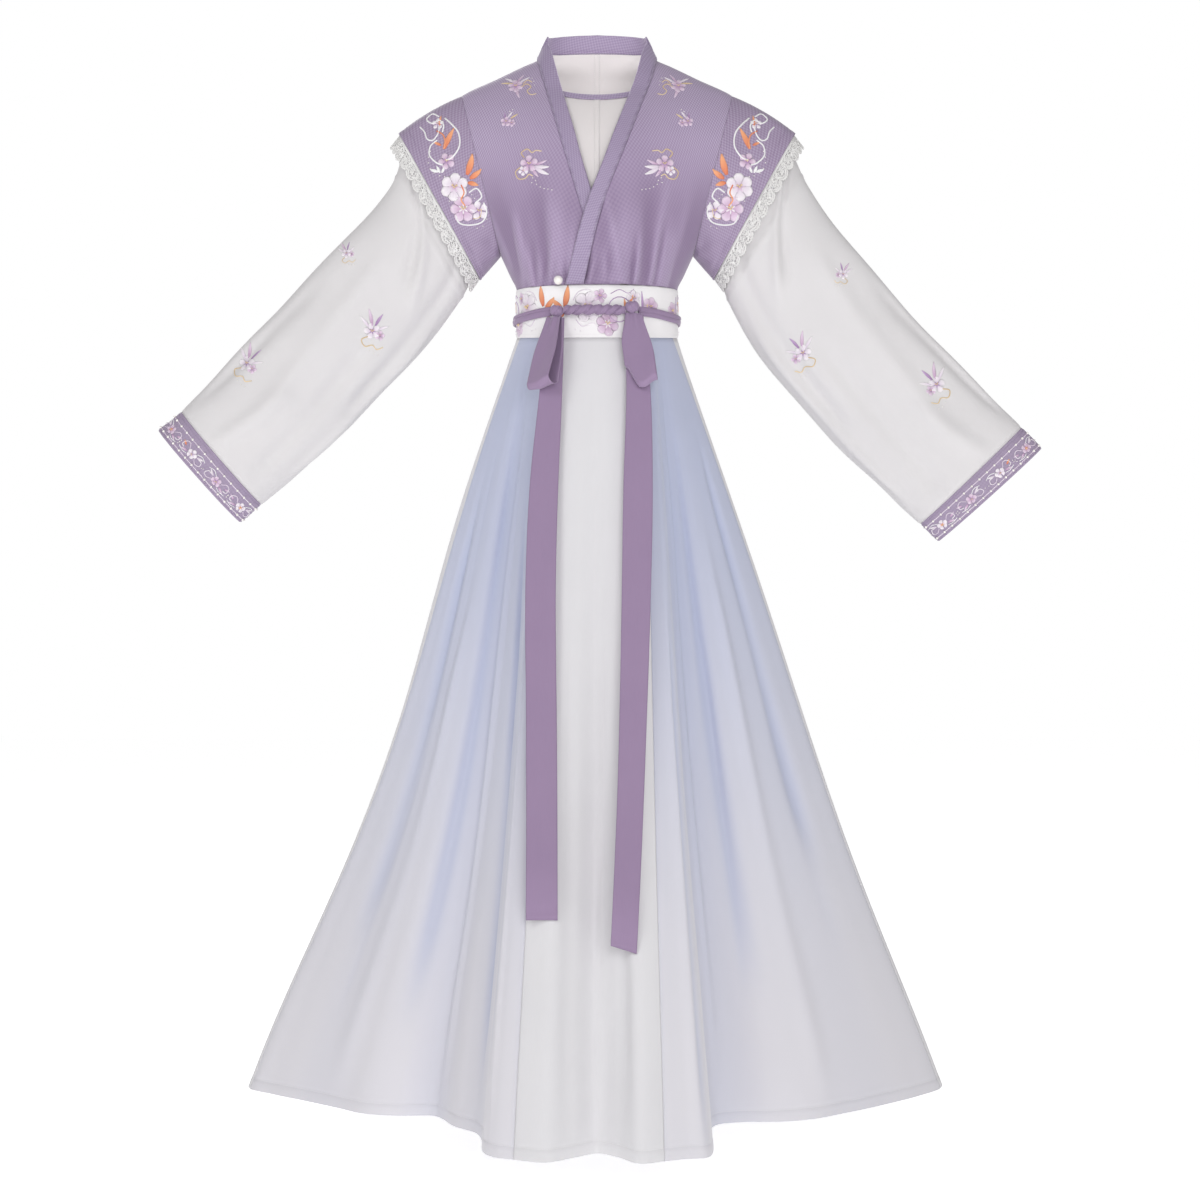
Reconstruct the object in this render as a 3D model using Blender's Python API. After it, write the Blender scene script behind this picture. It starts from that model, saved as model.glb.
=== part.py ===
"""A hanfu robe in its worn, hollow form: crossed jacket with wide cap sleeves, long sheer sleeves with banded cuffs,
inner shirt, waistband, belt with two bow loops and two tails, and a panelled floor-length skirt.

Lengths are in millimetres here and become metres in the meshes. +X is the wearer's left, -Y the front, +Z up.
The origin is the middle of the neck's base, level with the inner ends of the shoulder seams. A drop is a height
measured downwards from there. Every piece is one closed sheet of cloth, cut from a few shared surfaces, so that
pieces that are sewn together meet along the same curve.
"""

import math

import bpy
import numpy as np

MM = 0.001
SEAM_GAP = 0.3

JACKET_CLOTH = 1.4
SHIRT_CLOTH = 1.1
SLEEVE_CLOTH = 1.2
SKIRT_CLOTH = 1.3
BAND_CLOTH = 2.2
WAISTBAND_CLOTH = 2.6
BELT_CLOTH = 1.2
LACE_CLOTH = 1.0

# The torso, level by level, from the back of the neck to the waist. Half width is where its front meets its back.
# drop, half width, depth of the front, depth of the back
TORSO = (
    (-42, 84, 8, 55),
    (-31, 84, 8, 62),
    (-8, 78, 14, 74),
    (2, 99, 30, 79),
    (20, 136, 45, 83),
    (41, 180, 58, 87),
    (62, 197, 74, 90),
    (97, 203, 94, 93),
    (129, 195, 106, 94),
    (184, 167, 118, 91),
    (215, 150, 121, 87),
    (254, 128, 116, 81),
    (282, 115, 102, 82),
    (297, 107.5, 94, 85),
    (310, 106.5, 92, 85),
)
NECK_DROP = -8
SHOULDER = (180, 41)
ARMPIT = (128, 254)
ARMPIT_SHARE = 0.82
NECK_HALF = 78

# Waist seam and skirt seam: the front is a little lower than the sides.
WAIST_DROP = 300
WAIST_TILT = 0.035
SKIRT_DROP = 363
SKIRT_TILT = 0.1
WAISTBAND = (108, 93.5, 86.5)

# The collar band from the middle of the back (0) over the shoulder (4) down to the waist (12), for each side.
# station, seam's x, seam's drop, then from the seam to the free edge: inwards, back, up
UNDER_COLLAR = (
    (0, 0, -31, 0, -7, 23),
    (1, 30, -29.2, -2, -6.5, 23),
    (2, 55, -24.3, -5, -5, 24),
    (3, 71, -17.5, -9, -3, 24),
    (4, 78, -8, -13, 0, 23),
    (5, 76, 6, -17, 4, 17),
    (6, 70, 32, -20, 0, 6),
    (7, 62, 62, -22, 0, -2),
    (8, 52, 97, -23, 0, -7),
    (9, 43, 129, -23, 0, -11),
    (10, 27, 184, -23, 0, -11),
    (11, 11, 238, -23, 0, -10),
    (12, -7, 303, -23, 0, 0),
)
OVER_COLLAR = UNDER_COLLAR[:7] + (
    (7, 60, 60, -23, 0, -4),
    (8, 48, 94, -25, 0, -9),
    (9, 33, 135, -25, 0, -11),
    (10, 14.5, 184, -25, 0, -11),
    (11, 0, 232, -24, 0, -8),
    (12, -17, 303, -24, 0, 0),
)
OVERLAP_LIFT = 5

# Soft gathers that run up from the waist seam. x at the waist, drop where it starts, lean, height
RIGHT_GATHERS = ((34, 205, -0.05, 3.5), (52, 150, 0.1, 4.5), (70, 190, 0.16, 4), (87, 200, 0.25, 3.5))
LEFT_GATHERS = ((14, 200, -0.3, 3), (33, 150, -0.2, 4.5), (52, 180, 0.05, 3.5), (70, 140, 0.18, 5), (88, 200, 0.25, 3))
BACK_GATHERS = ((10, 190, 0.05, 3.5), (31, 150, 0.08, 4), (53, 185, 0.12, 3.5), (74, 165, 0.2, 4))
GATHER_WIDTH = 7

# Wide cap sleeve: the top and the underarm ends of its hem, and half its depth there.
CAP_TOP = (264, -91)
CAP_LOW = (155, -286)
CAP_HALF_DEPTH = 49
CAP_CROWN = 4
LACE_SCALLOPS = 34
LACE_WIDTH = 16
LACE_SCALLOP = 4
LACE_FLOW = (0.6, -0.8)

# Long sleeves, each from the armhole to the cuff's end. They differ because the robe hangs turned a little.
# station, top x, top z, underside x, underside z, half depth, y of the middle
RIGHT_SLEEVE = (
    (0, 180, -50, 131, -248, 46, 0),
    (1, 252, -110, 162, -275, 37, 0),
    (2, 275, -163, 189, -323, 36, -2),
    (3, 336, -232, 251, -399, 36, -5),
    (4, 411, -312, 317, -468, 37, -9),
    (5, 476, -382, 372, -522, 37, -13),
    (6, 551, -462, 445, -585, 36, -17),
    (7, 581, -487, 473, -609, 36, -19),
)
LEFT_SLEEVE = (
    (0, 180, -50, 131, -248, 46, 0),
    (1, 254, -110, 161, -276, 37, 0),
    (2, 281, -162, 181, -328, 34, -2),
    (3, 336, -237, 232, -407, 32, -5),
    (4, 411, -325, 309, -495, 30, -9),
    (5, 488, -407, 377, -562, 29, -13),
    (6, 563, -483, 429, -611, 28, -17),
    (7, 589, -511, 453, -634, 28, -19),
)

# The inner shirt's bound neckline.
# Its front lies well inside the two overlapping fronts, and comes out to the jacket at the seams.
SHIRT_FRONT_INSET = 5.2
SHIRT_BACK_INSET = 3.6
SHIRT_SEAM_INSET = 2.6
NECKLINE_HALF = 95
NECKLINE_DROP = 48.6
BINDING_WIDTH = 7.5

# The skirt in plan: each row is the crest or the hollow of a fold, or lies between the two.
# Angles are measured from the front, towards the wearer's left: at the waist, at the hem, and the hem's radius
SKIRT_FOLDS = (
    (0, 0, 378),
    (12, 3.6, 398),
    (24, 6.6, 432),
    (35.5, 10.8, 424),
    (38, 14.6, 419),
    (41, 18.2, 418),
    (43, 21.5, 378),
    (45, 26, 312),
    (48, 33, 270),
    (51, 41, 276),
    (54, 48, 308),
    (58, 55, 332),
    (62, 64, 352),
    (66, 74, 384),
    (69, 83, 424),
    (71, 90.3, 459),
    (79, 97, 462),
    (87, 103, 430),
    (96, 110, 402),
    (105, 118, 404),
    (113, 126, 390),
    (122, 135, 354),
    (131, 144, 358),
    (141, 153, 364),
    (151, 162, 342),
    (160, 170, 322),
    (169, 177, 334),
    (178, 184, 338),
    (188, 192, 318),
    (198, 201, 322),
    (208, 211, 348),
    (218, 220, 352),
    (228, 229, 338),
    (239, 239, 362),
    (250, 249, 402),
    (262, 257, 420),
    (274, 264, 462),
    (286, 270.2, 463),
    (290, 275, 430),
    (294, 282, 388),
    (297, 290, 356),
    (300, 298, 336),
    (303, 304, 306),
    (306, 309, 270),
    (309, 315, 272),
    (312, 323, 292),
    (315, 331, 306),
    (318, 336, 340),
    (320, 340, 392),
    (322, 343, 414),
    (325.8, 346.6, 420),
    (338, 352, 428),
    (349, 356, 402),
)
FRONT_SEAMS = (3, -3)
SIDE_SEAMS = (15, -16)
SKIRT_WAIST = (106.7, 92, 85)
HEM_DROP = 1363
# How far each side of the skirt bows inwards on its way down, and how low that lies: right, left
FLARE_HOLLOWS = ((0.072, 1.25), (0.03, 1.6))
SKIRT_ROWS = 5

# Belt: the flat band round the back, the twisted front, knots, loops and tails.
BELT_HEIGHT = 12.5
BELT_DROP = 341
BELT_PLY = 3
TWIST_RADII = (7, 4.5)
TWIST_TURNS = 3
TWIST_X = (-42, 35)
TWIST_DROP = 337
# x, drop, half width, half height, half depth
KNOTS = {"right": (-52, 338, 8.5, 8, 7.5), "left": (45.5, 333, 9, 8, 7.5)}
# x, y and z of the loop's top and of its bottom, turn of its width, widths at top and bottom, opening
LOOPS = {
    "right": ((-54, -98, -344.5), (-73, -133, -442), -40, 24, 39, 13),
    "left": ((47, -96, -339.6), (59, -131, -440), -8, 22, 40, 9),
}
# Tail: station down its length, x of its middle, width, y in front of the skirt
TAILS = {
    "right": ((346.4, -54, 24), (440, -59, 29), (560, -66, 36), (680, -69, 38), (850, -68, 38), (1096, -67, 38)),
    "left": ((341.4, 48, 24), (440, 53, 31), (560, 53, 37), (720, 50, 36), (900, 43, 33), (1124, 31, 31)),
}
TAIL_SLANT = {"right": 0, "left": 10}
TAIL_CLEAR = 3.8

PEARL = (-50, 298, 6)

COLOURS = {
    "lilac": (0.33, 0.28, 0.43),
    "lace": (0.88, 0.87, 0.86),
    "white": (0.80, 0.79, 0.81),
    "blue": (0.52, 0.58, 0.74),
    "waistband": (0.84, 0.82, 0.80),
    "belt": (0.34, 0.25, 0.39),
    "pearl": (0.86, 0.82, 0.76),
}


def curve(rows):
    """A smooth function through rows of numbers, whose first column is the station along it."""
    rows = np.array(rows, dtype=float)
    at, values = rows[:, 0], rows[:, 1:]
    slope = np.gradient(values, at, axis=0)

    def value(t):
        t = min(max(t, at[0]), at[-1])
        i = min(int(np.searchsorted(at, t, side="right")) - 1, len(at) - 2)
        span = at[i + 1] - at[i]
        f = (t - at[i]) / span
        near = (1 + 2 * f) * values[i] + f * span * slope[i]
        far = (3 - 2 * f) * values[i + 1] - (1 - f) * span * slope[i + 1]
        return (1 - f) ** 2 * near + f * f * far

    return value


def ease(value):
    """0 below 0, 1 above 1, and a smooth rise between."""
    value = min(max(value, 0.0), 1.0)
    return value * value * (3 - 2 * value)


def unit(vector):
    return vector / max(np.linalg.norm(vector), 1e-12)


def spaced(first, last, count):
    return np.linspace(first, last, count + 1)


def cloth_material(name, colour, roughness=0.85):
    material = bpy.data.materials.new(name)
    material.use_nodes = True
    shader = material.node_tree.nodes["Principled BSDF"]
    shader.inputs["Base Color"].default_value = (*COLOURS[colour], 1)
    shader.inputs["Roughness"].default_value = roughness
    return material


def solid(name, points, faces, colour, roughness=0.85):
    """A closed mesh object from points in millimetres, turned the right way out."""
    points = np.array(points)
    volume = sum(
        np.dot(points[face[0]], np.cross(points[face[k]], points[face[k + 1]]))
        for face in faces
        for k in range(1, len(face) - 1)
    )
    if volume < 0:
        faces = [face[::-1] for face in faces]
    mesh = bpy.data.meshes.new(name)
    mesh.from_pydata((points * MM).tolist(), [], faces)
    mesh.materials.append(cloth_material(name, colour, roughness))
    thing = bpy.data.objects.new(name, mesh)
    bpy.context.scene.collection.objects.link(thing)
    return thing


def normal_at(face, u, v, u_end, v_end, step_u, step_v):
    """The surface's normal, from differences that stay inside the sheet."""
    here = face(u, v)
    du = face(u + step_u, v) - here if u + step_u <= u_end else here - face(u - step_u, v)
    dv = face(u, v + step_v) - here if v + step_v <= v_end else here - face(u, v - step_v)
    return unit(np.cross(du, dv))


def sheet_faces(across, down, ring):
    """Faces of a closed sheet: an outer grid of points, then an inner grid in the same order."""
    inner = across * down
    wraps = across if ring else across - 1
    faces = []
    for i in range(wraps):
        k = (i + 1) % across
        for j in range(down - 1):
            a, b, c, d = i * down + j, k * down + j, k * down + j + 1, i * down + j + 1
            faces += [[a, b, c], [a, c, d]]
            faces += [[inner + c, inner + b, inner + a], [inner + d, inner + c, inner + a]]
        top, next_top = i * down, k * down
        low, next_low = top + down - 1, next_top + down - 1
        faces.append([next_top, top, inner + top, inner + next_top])
        faces.append([low, next_low, inner + next_low, inner + low])
    if not ring:
        last = (across - 1) * down
        for j in range(down - 1):
            faces.append([j, j + 1, inner + j + 1, inner + j])
            faces.append([last + j + 1, last + j, inner + last + j, inner + last + j + 1])
    return faces


def sheet(name, face, us, vs, thick, colour, ring=False, inward=1, inset=0.0, short=SEAM_GAP / 2):
    """Cloth of one thickness. face(u, v) is its outer side; inward is -1 where the normal of (u, v) points inwards.
    Its edges stop short by half a seam gap. inset, a length or a function of (u, v), sinks the sheet below the surface."""
    step_u = (us[-1] - us[0]) * 1e-4
    step_v = (vs[-1] - vs[0]) * 1e-4
    outer = np.empty((len(us), len(vs), 3))
    inner = np.empty_like(outer)
    for i, u in enumerate(us):
        for j, v in enumerate(vs):
            normal = normal_at(face, u, v, us[-1], vs[-1], step_u, step_v) * inward
            outer[i, j] = face(u, v) - normal * (inset(u, v) if callable(inset) else inset)
            inner[i, j] = outer[i, j] - normal * thick
    for edge, beside in ((0, 1), (-1, -2)):
        step = outer[:, beside] - outer[:, edge]
        step *= short / np.linalg.norm(step, axis=1, keepdims=True)
        outer[:, edge] += step
        inner[:, edge] += step
        if not ring:
            step = outer[beside] - outer[edge]
            step *= short / np.linalg.norm(step, axis=1, keepdims=True)
            outer[edge] += step
            inner[edge] += step
    points = np.concatenate([outer.reshape(-1, 3), inner.reshape(-1, 3)])
    return solid(name, points, sheet_faces(len(us), len(vs), ring), colour)


def loft(name, rings, colour, roughness=0.85):
    """A solid through rings of equally many points, closed by its first and last ring."""
    sides = len(rings[0])
    points = [point for ring in rings for point in ring]
    faces = [list(range(sides))[::-1], list(range(len(points) - sides, len(points)))]
    for r in range(len(rings) - 1):
        for k in range(sides):
            a, b = r * sides + k, r * sides + (k + 1) % sides
            faces.append([a, b, b + sides, a + sides])
    return solid(name, points, faces, colour, roughness)


# Torso surfaces.
torso_level = curve(TORSO)
collar_rows = {"right": curve(UNDER_COLLAR), "left": curve(OVER_COLLAR)}
SIGN = {"right": -1, "left": 1}
GATHERS = {"right": RIGHT_GATHERS, "left": LEFT_GATHERS, "back": BACK_GATHERS}


def gathered(x, drop, folds):
    """How far the gathers stand out at a point, all ridges and no hollows."""
    height = 0.0
    for at, start, lean, tall in folds:
        if drop > start:
            rise = ((drop - start) / (WAIST_DROP - start)) ** 1.2 * (1 - 0.6 * ease((drop - 285) / 18))
            away = x - at - lean * (WAIST_DROP - drop)
            height += tall * rise * math.exp(-((away / GATHER_WIDTH) ** 2))
    return height


def on_torso(x, drop, facing, raised=0.0):
    """A point of the torso's surface. facing is -1 for the front and 1 for the back."""
    half_width, front, back = torso_level(drop)
    share = min(abs(x) / half_width, 1.0)
    depth = (front if facing < 0 else back) + raised
    return np.array([x, facing * depth * math.sqrt(1 - share * share), -drop])


def overlap_lift(x, drop):
    """The over front lies this far outside the under front, and level with it at its other seams."""
    return OVERLAP_LIFT * ease((95 - x) / 55) * ease((drop - 70) / 80)


def waist_drop(x, facing):
    """The drop of the waist seam at x."""
    _, front, back = WAISTBAND
    share = min(abs(x) / torso_level(WAIST_DROP)[0], 1.0)
    depth = -front if facing < 0 else back
    return WAIST_DROP - WAIST_TILT * depth * math.sqrt(1 - share * share)


def armhole_line(t):
    """x and drop down the armhole seam, then down the side seam."""
    if t < ARMPIT_SHARE:
        f = (1 - math.cos(math.pi * t / ARMPIT_SHARE)) / 2
        return np.array([SHOULDER[0] + (ARMPIT[0] - SHOULDER[0]) * f, SHOULDER[1] + (ARMPIT[1] - SHOULDER[1]) * f])
    drop = ARMPIT[1] + (WAIST_DROP - ARMPIT[1]) * (t - ARMPIT_SHARE) / (1 - ARMPIT_SHARE)
    return np.array([torso_level(drop)[0], drop])


def shoulder_line(s):
    """x and drop of the shoulder seam, from the neck (0) to the shoulder point (1)."""
    drop = NECK_DROP + (SHOULDER[1] - NECK_DROP) * s
    return np.array([torso_level(drop)[0], drop])


def collar_seam(side, station):
    return collar_rows[side](station)[:2]


def front_plan(side, s, t):
    """x (positive on its own side) and drop of a front, from its collar seam (s = 0) to its outer edge (1)."""
    inner, outer = collar_seam(side, 4 + 8 * t), armhole_line(t)
    round_share = ease((t - 0.25) / 0.5)
    across = s * (1 - round_share) + math.sin(math.pi * s / 2) * round_share
    x = inner[0] + (outer[0] - inner[0]) * across
    drop = inner[1] + (outer[1] - inner[1]) * s
    x0, drop0 = shoulder_line(s) - (collar_seam(side, 4) * (1 - s) + armhole_line(0) * s)
    fade = (1 - t) ** 3
    x, drop = x + x0 * fade, drop + drop0 * fade
    level_end = collar_seam(side, 12)[1] * (1 - s) + WAIST_DROP * s
    return x, drop + (waist_drop(x, -1) - level_end) * ease(2 * t - 1)


def front_face(side):
    def face(s, t):
        x, drop = front_plan(side, s, t)
        raised = gathered(x, drop, GATHERS[side]) * ease((x + 5) / 25)
        if side == "left":
            raised += overlap_lift(x, drop)
        point = on_torso(x, drop, -1, raised)
        point[0] *= SIGN[side]
        return point

    return face


def whole_plan(s, t, top_drop, facing):
    """x and drop of a panel from side to side (s from -1 to 1) under a top edge given by its drop at s."""
    outer_x, outer_drop = armhole_line(t)
    progress = (outer_drop - SHOULDER[1]) / (WAIST_DROP - SHOULDER[1])
    round_share = ease((t - 0.25) / 0.5)
    across = abs(s) * (1 - round_share) + math.sin(math.pi * abs(s) / 2) * round_share
    x = outer_x * across
    if t == 0 and x > NECK_HALF:
        x = min(x, torso_level(top_drop)[0])
    drop = top_drop + (WAIST_DROP - top_drop) * progress
    return math.copysign(x, s), drop + (waist_drop(x, facing) - WAIST_DROP) * ease(2 * t - 1)


def shoulder_drop(x):
    """The drop of the shoulder seam at x, found by halving."""
    low, high = NECK_DROP, SHOULDER[1]
    for _ in range(40):
        middle = (low + high) / 2
        if torso_level(middle)[0] < x:
            low = middle
        else:
            high = middle
    return (low + high) / 2


def back_neck_drop(x):
    """The drop of the back neckline at x, along the collar's seam."""
    low, high = 0.0, 4.0
    for _ in range(40):
        middle = (low + high) / 2
        if collar_seam("right", middle)[0] < x:
            low = middle
        else:
            high = middle
    return collar_seam("right", low)[1]


def back_face(s, t):
    x = SHOULDER[0] * abs(s)
    top = back_neck_drop(x) if x < NECK_HALF else shoulder_drop(x)
    x, drop = whole_plan(s, t, top, 1)
    return on_torso(x, drop, 1, gathered(abs(x), drop, GATHERS["back"]))


def plain_back_face(s, t):
    x = SHOULDER[0] * abs(s)
    top = back_neck_drop(x) if x < NECK_HALF else shoulder_drop(x)
    x, drop = whole_plan(s, t, top, 1)
    return on_torso(x, drop, 1)


def neckline_drop(x):
    """The drop of the inner shirt's front neckline at x; beyond its end, of the shoulder seam."""
    if x >= NECKLINE_HALF:
        return shoulder_drop(x)
    share = x / NECKLINE_HALF
    return shoulder_drop(NECKLINE_HALF) + NECKLINE_DROP * math.sqrt(1 - share * share)


def shirt_front_face(s, t):
    x, drop = whole_plan(s, t, neckline_drop(SHOULDER[0] * abs(s)), -1)
    return on_torso(x, drop, -1)


def shirt_inset(deepest):
    """Nearly at the jacket along the sides and armholes, and deeper between them."""
    return lambda s, t: SHIRT_SEAM_INSET + (deepest - SHIRT_SEAM_INSET) * ease((0.85 - abs(s)) / 0.3)


def binding_face(s, w):
    x = NECKLINE_HALF * s
    return on_torso(x, neckline_drop(abs(x)) + BINDING_WIDTH * w, -1)


def collar_face(station, w):
    """The collar band. Stations run from the under side's end (-12) over the back (0) to the over side's end (12)."""
    side = "left" if station > 0 else "right"
    k = abs(station)
    x, drop, inwards, back, up = collar_rows[side](k)
    facing = 1 if k < 4 else -1
    on_chest = ease((k - 5.5) / 1.5)

    def at(x, drop):
        raised = overlap_lift(x, drop) if side == "left" and k > 4 else 0.0
        return on_torso(x, drop, facing, raised)

    seam = at(x, drop)
    leaning = seam + np.array([inwards * w**1.5, back * w, up * w])
    flat = at(x + w * inwards, min(drop - w * up, waist_drop(x + w * inwards, -1)))
    point = leaning * (1 - on_chest) + flat * on_chest
    point[0] *= SIGN[side]
    return point


# Cap sleeves, lace and long sleeves.
def ring_point(top, low, half_depth, middle_y, angle):
    """A point of an oval ring that stands in a sleeve. Angle 0 is its top and 90 degrees its front."""
    middle = (np.array(top) + low) / 2
    half = (np.array(top) - low) / 2
    x, z = middle + half * math.cos(angle)
    return np.array([x, middle_y - half_depth * math.sin(angle), z])


def armhole_ring(angle):
    f = (1 - math.cos(angle)) / 2
    x = SHOULDER[0] + (ARMPIT[0] - SHOULDER[0]) * f
    drop = SHOULDER[1] + (ARMPIT[1] - SHOULDER[1]) * f
    return on_torso(x, drop, -1 if math.sin(angle) > 0 else 1)


def cap_face(angle, r):
    seam = armhole_ring(angle)
    hem = ring_point(CAP_TOP, CAP_LOW, CAP_HALF_DEPTH, 0, angle)
    point = seam + (hem - seam) * r
    crown = CAP_CROWN * 4 * r * (1 - r) * max(math.cos(angle), 0)
    return point + crown * np.array([0.45, 0, 0.89])


def lace_face(angle, r):
    hem = ring_point(CAP_TOP, CAP_LOW, CAP_HALF_DEPTH, 0, angle)
    middle = (np.array([CAP_TOP[0], 0, CAP_TOP[1]]) + [CAP_LOW[0], 0, CAP_LOW[1]]) / 2
    tucked = hem - 2.2 * unit(hem - middle)
    reach = LACE_WIDTH + LACE_SCALLOP * abs(math.sin(LACE_SCALLOPS * angle / 2))
    return tucked + r * reach * np.array([LACE_FLOW[0], 0, LACE_FLOW[1]])


def sleeve_face(rows):
    level = curve(rows)

    def face(angle, station):
        top_x, top_z, low_x, low_z, half_depth, middle_y = level(station)
        oval = ring_point((top_x, top_z), (low_x, low_z), half_depth, middle_y, angle)
        if station >= 1:
            return oval
        seam = armhole_ring(angle)
        middle = (np.array([SHOULDER[0], 0, -SHOULDER[1]]) + [ARMPIT[0], 0, -ARMPIT[1]]) / 2
        start = seam - (JACKET_CLOTH + 0.6) * unit(seam - middle) + np.array([1.2, 0, 0])
        return start + (oval - start) * ease(station)

    return face


def mirrored(face, side):
    """The same surface on the wearer's right, where x is negative."""

    def other(u, v):
        point = face(u, v)
        point[0] *= SIGN[side]
        return point

    return other


# Skirt, waistband and belt.
def oval(angle, half_width, front, back):
    """A point of the waist's plan, at an angle in degrees from the front."""
    turn = math.radians(angle)
    depth = front if math.cos(turn) > 0 else back
    return np.array([half_width * math.sin(turn), -depth * math.cos(turn)])


def skirt_rows():
    """The fold rows with their neighbours from a turn before and after, so that the curve closes."""
    count = len(SKIRT_FOLDS)
    rows = []
    for i in range(-20, count + 3):
        turn = 360 * (i // count)
        waist, hem, radius = SKIRT_FOLDS[i % count]
        rows.append((i, waist + turn, hem + turn, radius))
    return curve(rows)


skirt_row = skirt_rows()


def skirt_face(u, t):
    """u is a row of the fold table, t the share of the way from waist (0) to hem (1)."""
    waist_angle, hem_angle, radius = skirt_row(u)
    x, y = oval(waist_angle, *SKIRT_WAIST)
    turn = math.radians(hem_angle)
    hem = np.array([radius * math.sin(turn), -radius * math.cos(turn)])
    right, left = (deep * math.sin(math.pi * t**low) ** 2 for deep, low in FLARE_HOLLOWS)
    share = (1 + math.sin(turn)) / 2
    out = t - right * (1 - share) - left * share
    top = SKIRT_DROP - SKIRT_TILT * y
    plan = np.array([x, y]) + (hem - [x, y]) * out
    return np.array([plan[0], plan[1], -(top + (HEM_DROP - top) * t)])


def skirt_front_depth(x_low, x_high, drop):
    """y of the foremost skirt between two x at a height."""
    t = max((drop - SKIRT_DROP - 9) / (HEM_DROP - SKIRT_DROP - 9), 0)
    points = np.array([skirt_face(u, t)[:2] for u in np.linspace(-5, 5, 41)])
    order = points[:, 0].argsort()
    spots = np.linspace(x_low, x_high, 7)
    return np.interp(spots, points[order, 0], points[order, 1]).min()


def waistband_face(angle, t):
    x, y = oval(angle, *WAISTBAND)
    top = WAIST_DROP - WAIST_TILT * y
    low = SKIRT_DROP - SKIRT_TILT * y
    return np.array([x, y, -(top + (low - top) * t)])


def waistband_y(x):
    half_width, front, _ = WAISTBAND
    return -front * math.sqrt(1 - (x / half_width) ** 2)


def belt_face(angle, t):
    half_width, front, back = WAISTBAND
    out = BELT_PLY + 0.4
    x, y = oval(angle, half_width + out, front + out, back + out)
    near = ease((abs(angle) - 30) / 40) if abs(angle) < 90 else 1
    middle = TWIST_DROP + (BELT_DROP - TWIST_DROP) * near
    return np.array([x, y, -(middle + BELT_HEIGHT * (t - 0.5))])


def build_twist():
    """The twisted stretch of belt between the knots: an oval section that turns as it goes."""
    rings = []
    steps = 8 * TWIST_TURNS
    for step in range(steps + 1):
        x = TWIST_X[0] + (TWIST_X[1] - TWIST_X[0]) * step / steps
        y = waistband_y(x) - TWIST_RADII[0] - 0.6
        turn = math.pi * 2 * TWIST_TURNS * step / steps
        slope = (waistband_y(x + 1) - waistband_y(x - 1)) / 2
        outwards = unit(np.array([slope, -1, 0]))
        ring = []
        for k in range(10):
            angle = 2 * math.pi * k / 10
            a, b = TWIST_RADII[0] * math.cos(angle), TWIST_RADII[1] * math.sin(angle)
            side = a * math.cos(turn / 2) - b * math.sin(turn / 2)
            rise = a * math.sin(turn / 2) + b * math.cos(turn / 2)
            ring.append(np.array([x, y, -TWIST_DROP]) + side * outwards + np.array([0, 0, rise]))
        rings.append(ring)
    loft("belt_twist", rings, "belt")


def build_knot(side):
    """A knot as a plump pad, rounder at its ends."""
    x, drop, half_width, half_height, half_depth = KNOTS[side]
    y = waistband_y(abs(x) - half_width) - half_depth - 0.5
    rings = []
    for at in (-1, -0.8, 0, 0.8, 1):
        size = (1 - abs(at) ** 3) ** (1 / 3) if abs(at) < 1 else 0.35
        ring = []
        for k in range(12):
            angle = 2 * math.pi * k / 12
            ring.append(
                (x + half_width * at, y - half_depth * size * math.cos(angle), -drop + half_height * size * math.sin(angle))
            )
        rings.append(ring)
    loft(f"belt_knot_{side}", rings, "belt")


def loop_face(side):
    """A bow loop: a strip that goes down in front, turns and comes up behind. u runs along it and v across."""
    top, bottom, turn, top_width, low_width, opening = LOOPS[side]
    top, bottom = np.array(top, dtype=float), np.array(bottom, dtype=float)
    across = np.array([math.cos(math.radians(turn)), math.sin(math.radians(turn)), 0])
    down = bottom - top
    front = unit(np.cross(down, across))
    front *= -1 if front[1] > 0 else 1

    def face(u, v):
        angle = math.radians(u)
        share = (1 - math.cos(angle)) / 2
        away = 1.4 + opening / 2 * math.sin(angle / 2) ** 1.5
        away *= max(min(math.sin(angle) * 2.2, 1), -1)
        width = top_width + (low_width - top_width) * ease(share * 1.6)
        return top + down * share + front * away + across * width * (v - 0.5)

    return face


def tail_face(side):
    rows = curve(TAILS[side])
    first, last = TAILS[side][0][0], TAILS[side][-1][0]
    slant = TAIL_SLANT[side]

    def face(v, t):
        drop = first + (last - first) * t
        middle, width = rows(drop)
        x = middle + width * (v - 0.5)
        drop += slant * v * t
        y = skirt_front_depth(middle - width / 2, middle + width / 2, max(drop, SKIRT_DROP + 12)) - TAIL_CLEAR
        return np.array([x, y, -drop])

    return face


def clear_scene():
    for thing in list(bpy.data.objects):
        bpy.data.objects.remove(thing, do_unlink=True)


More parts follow.
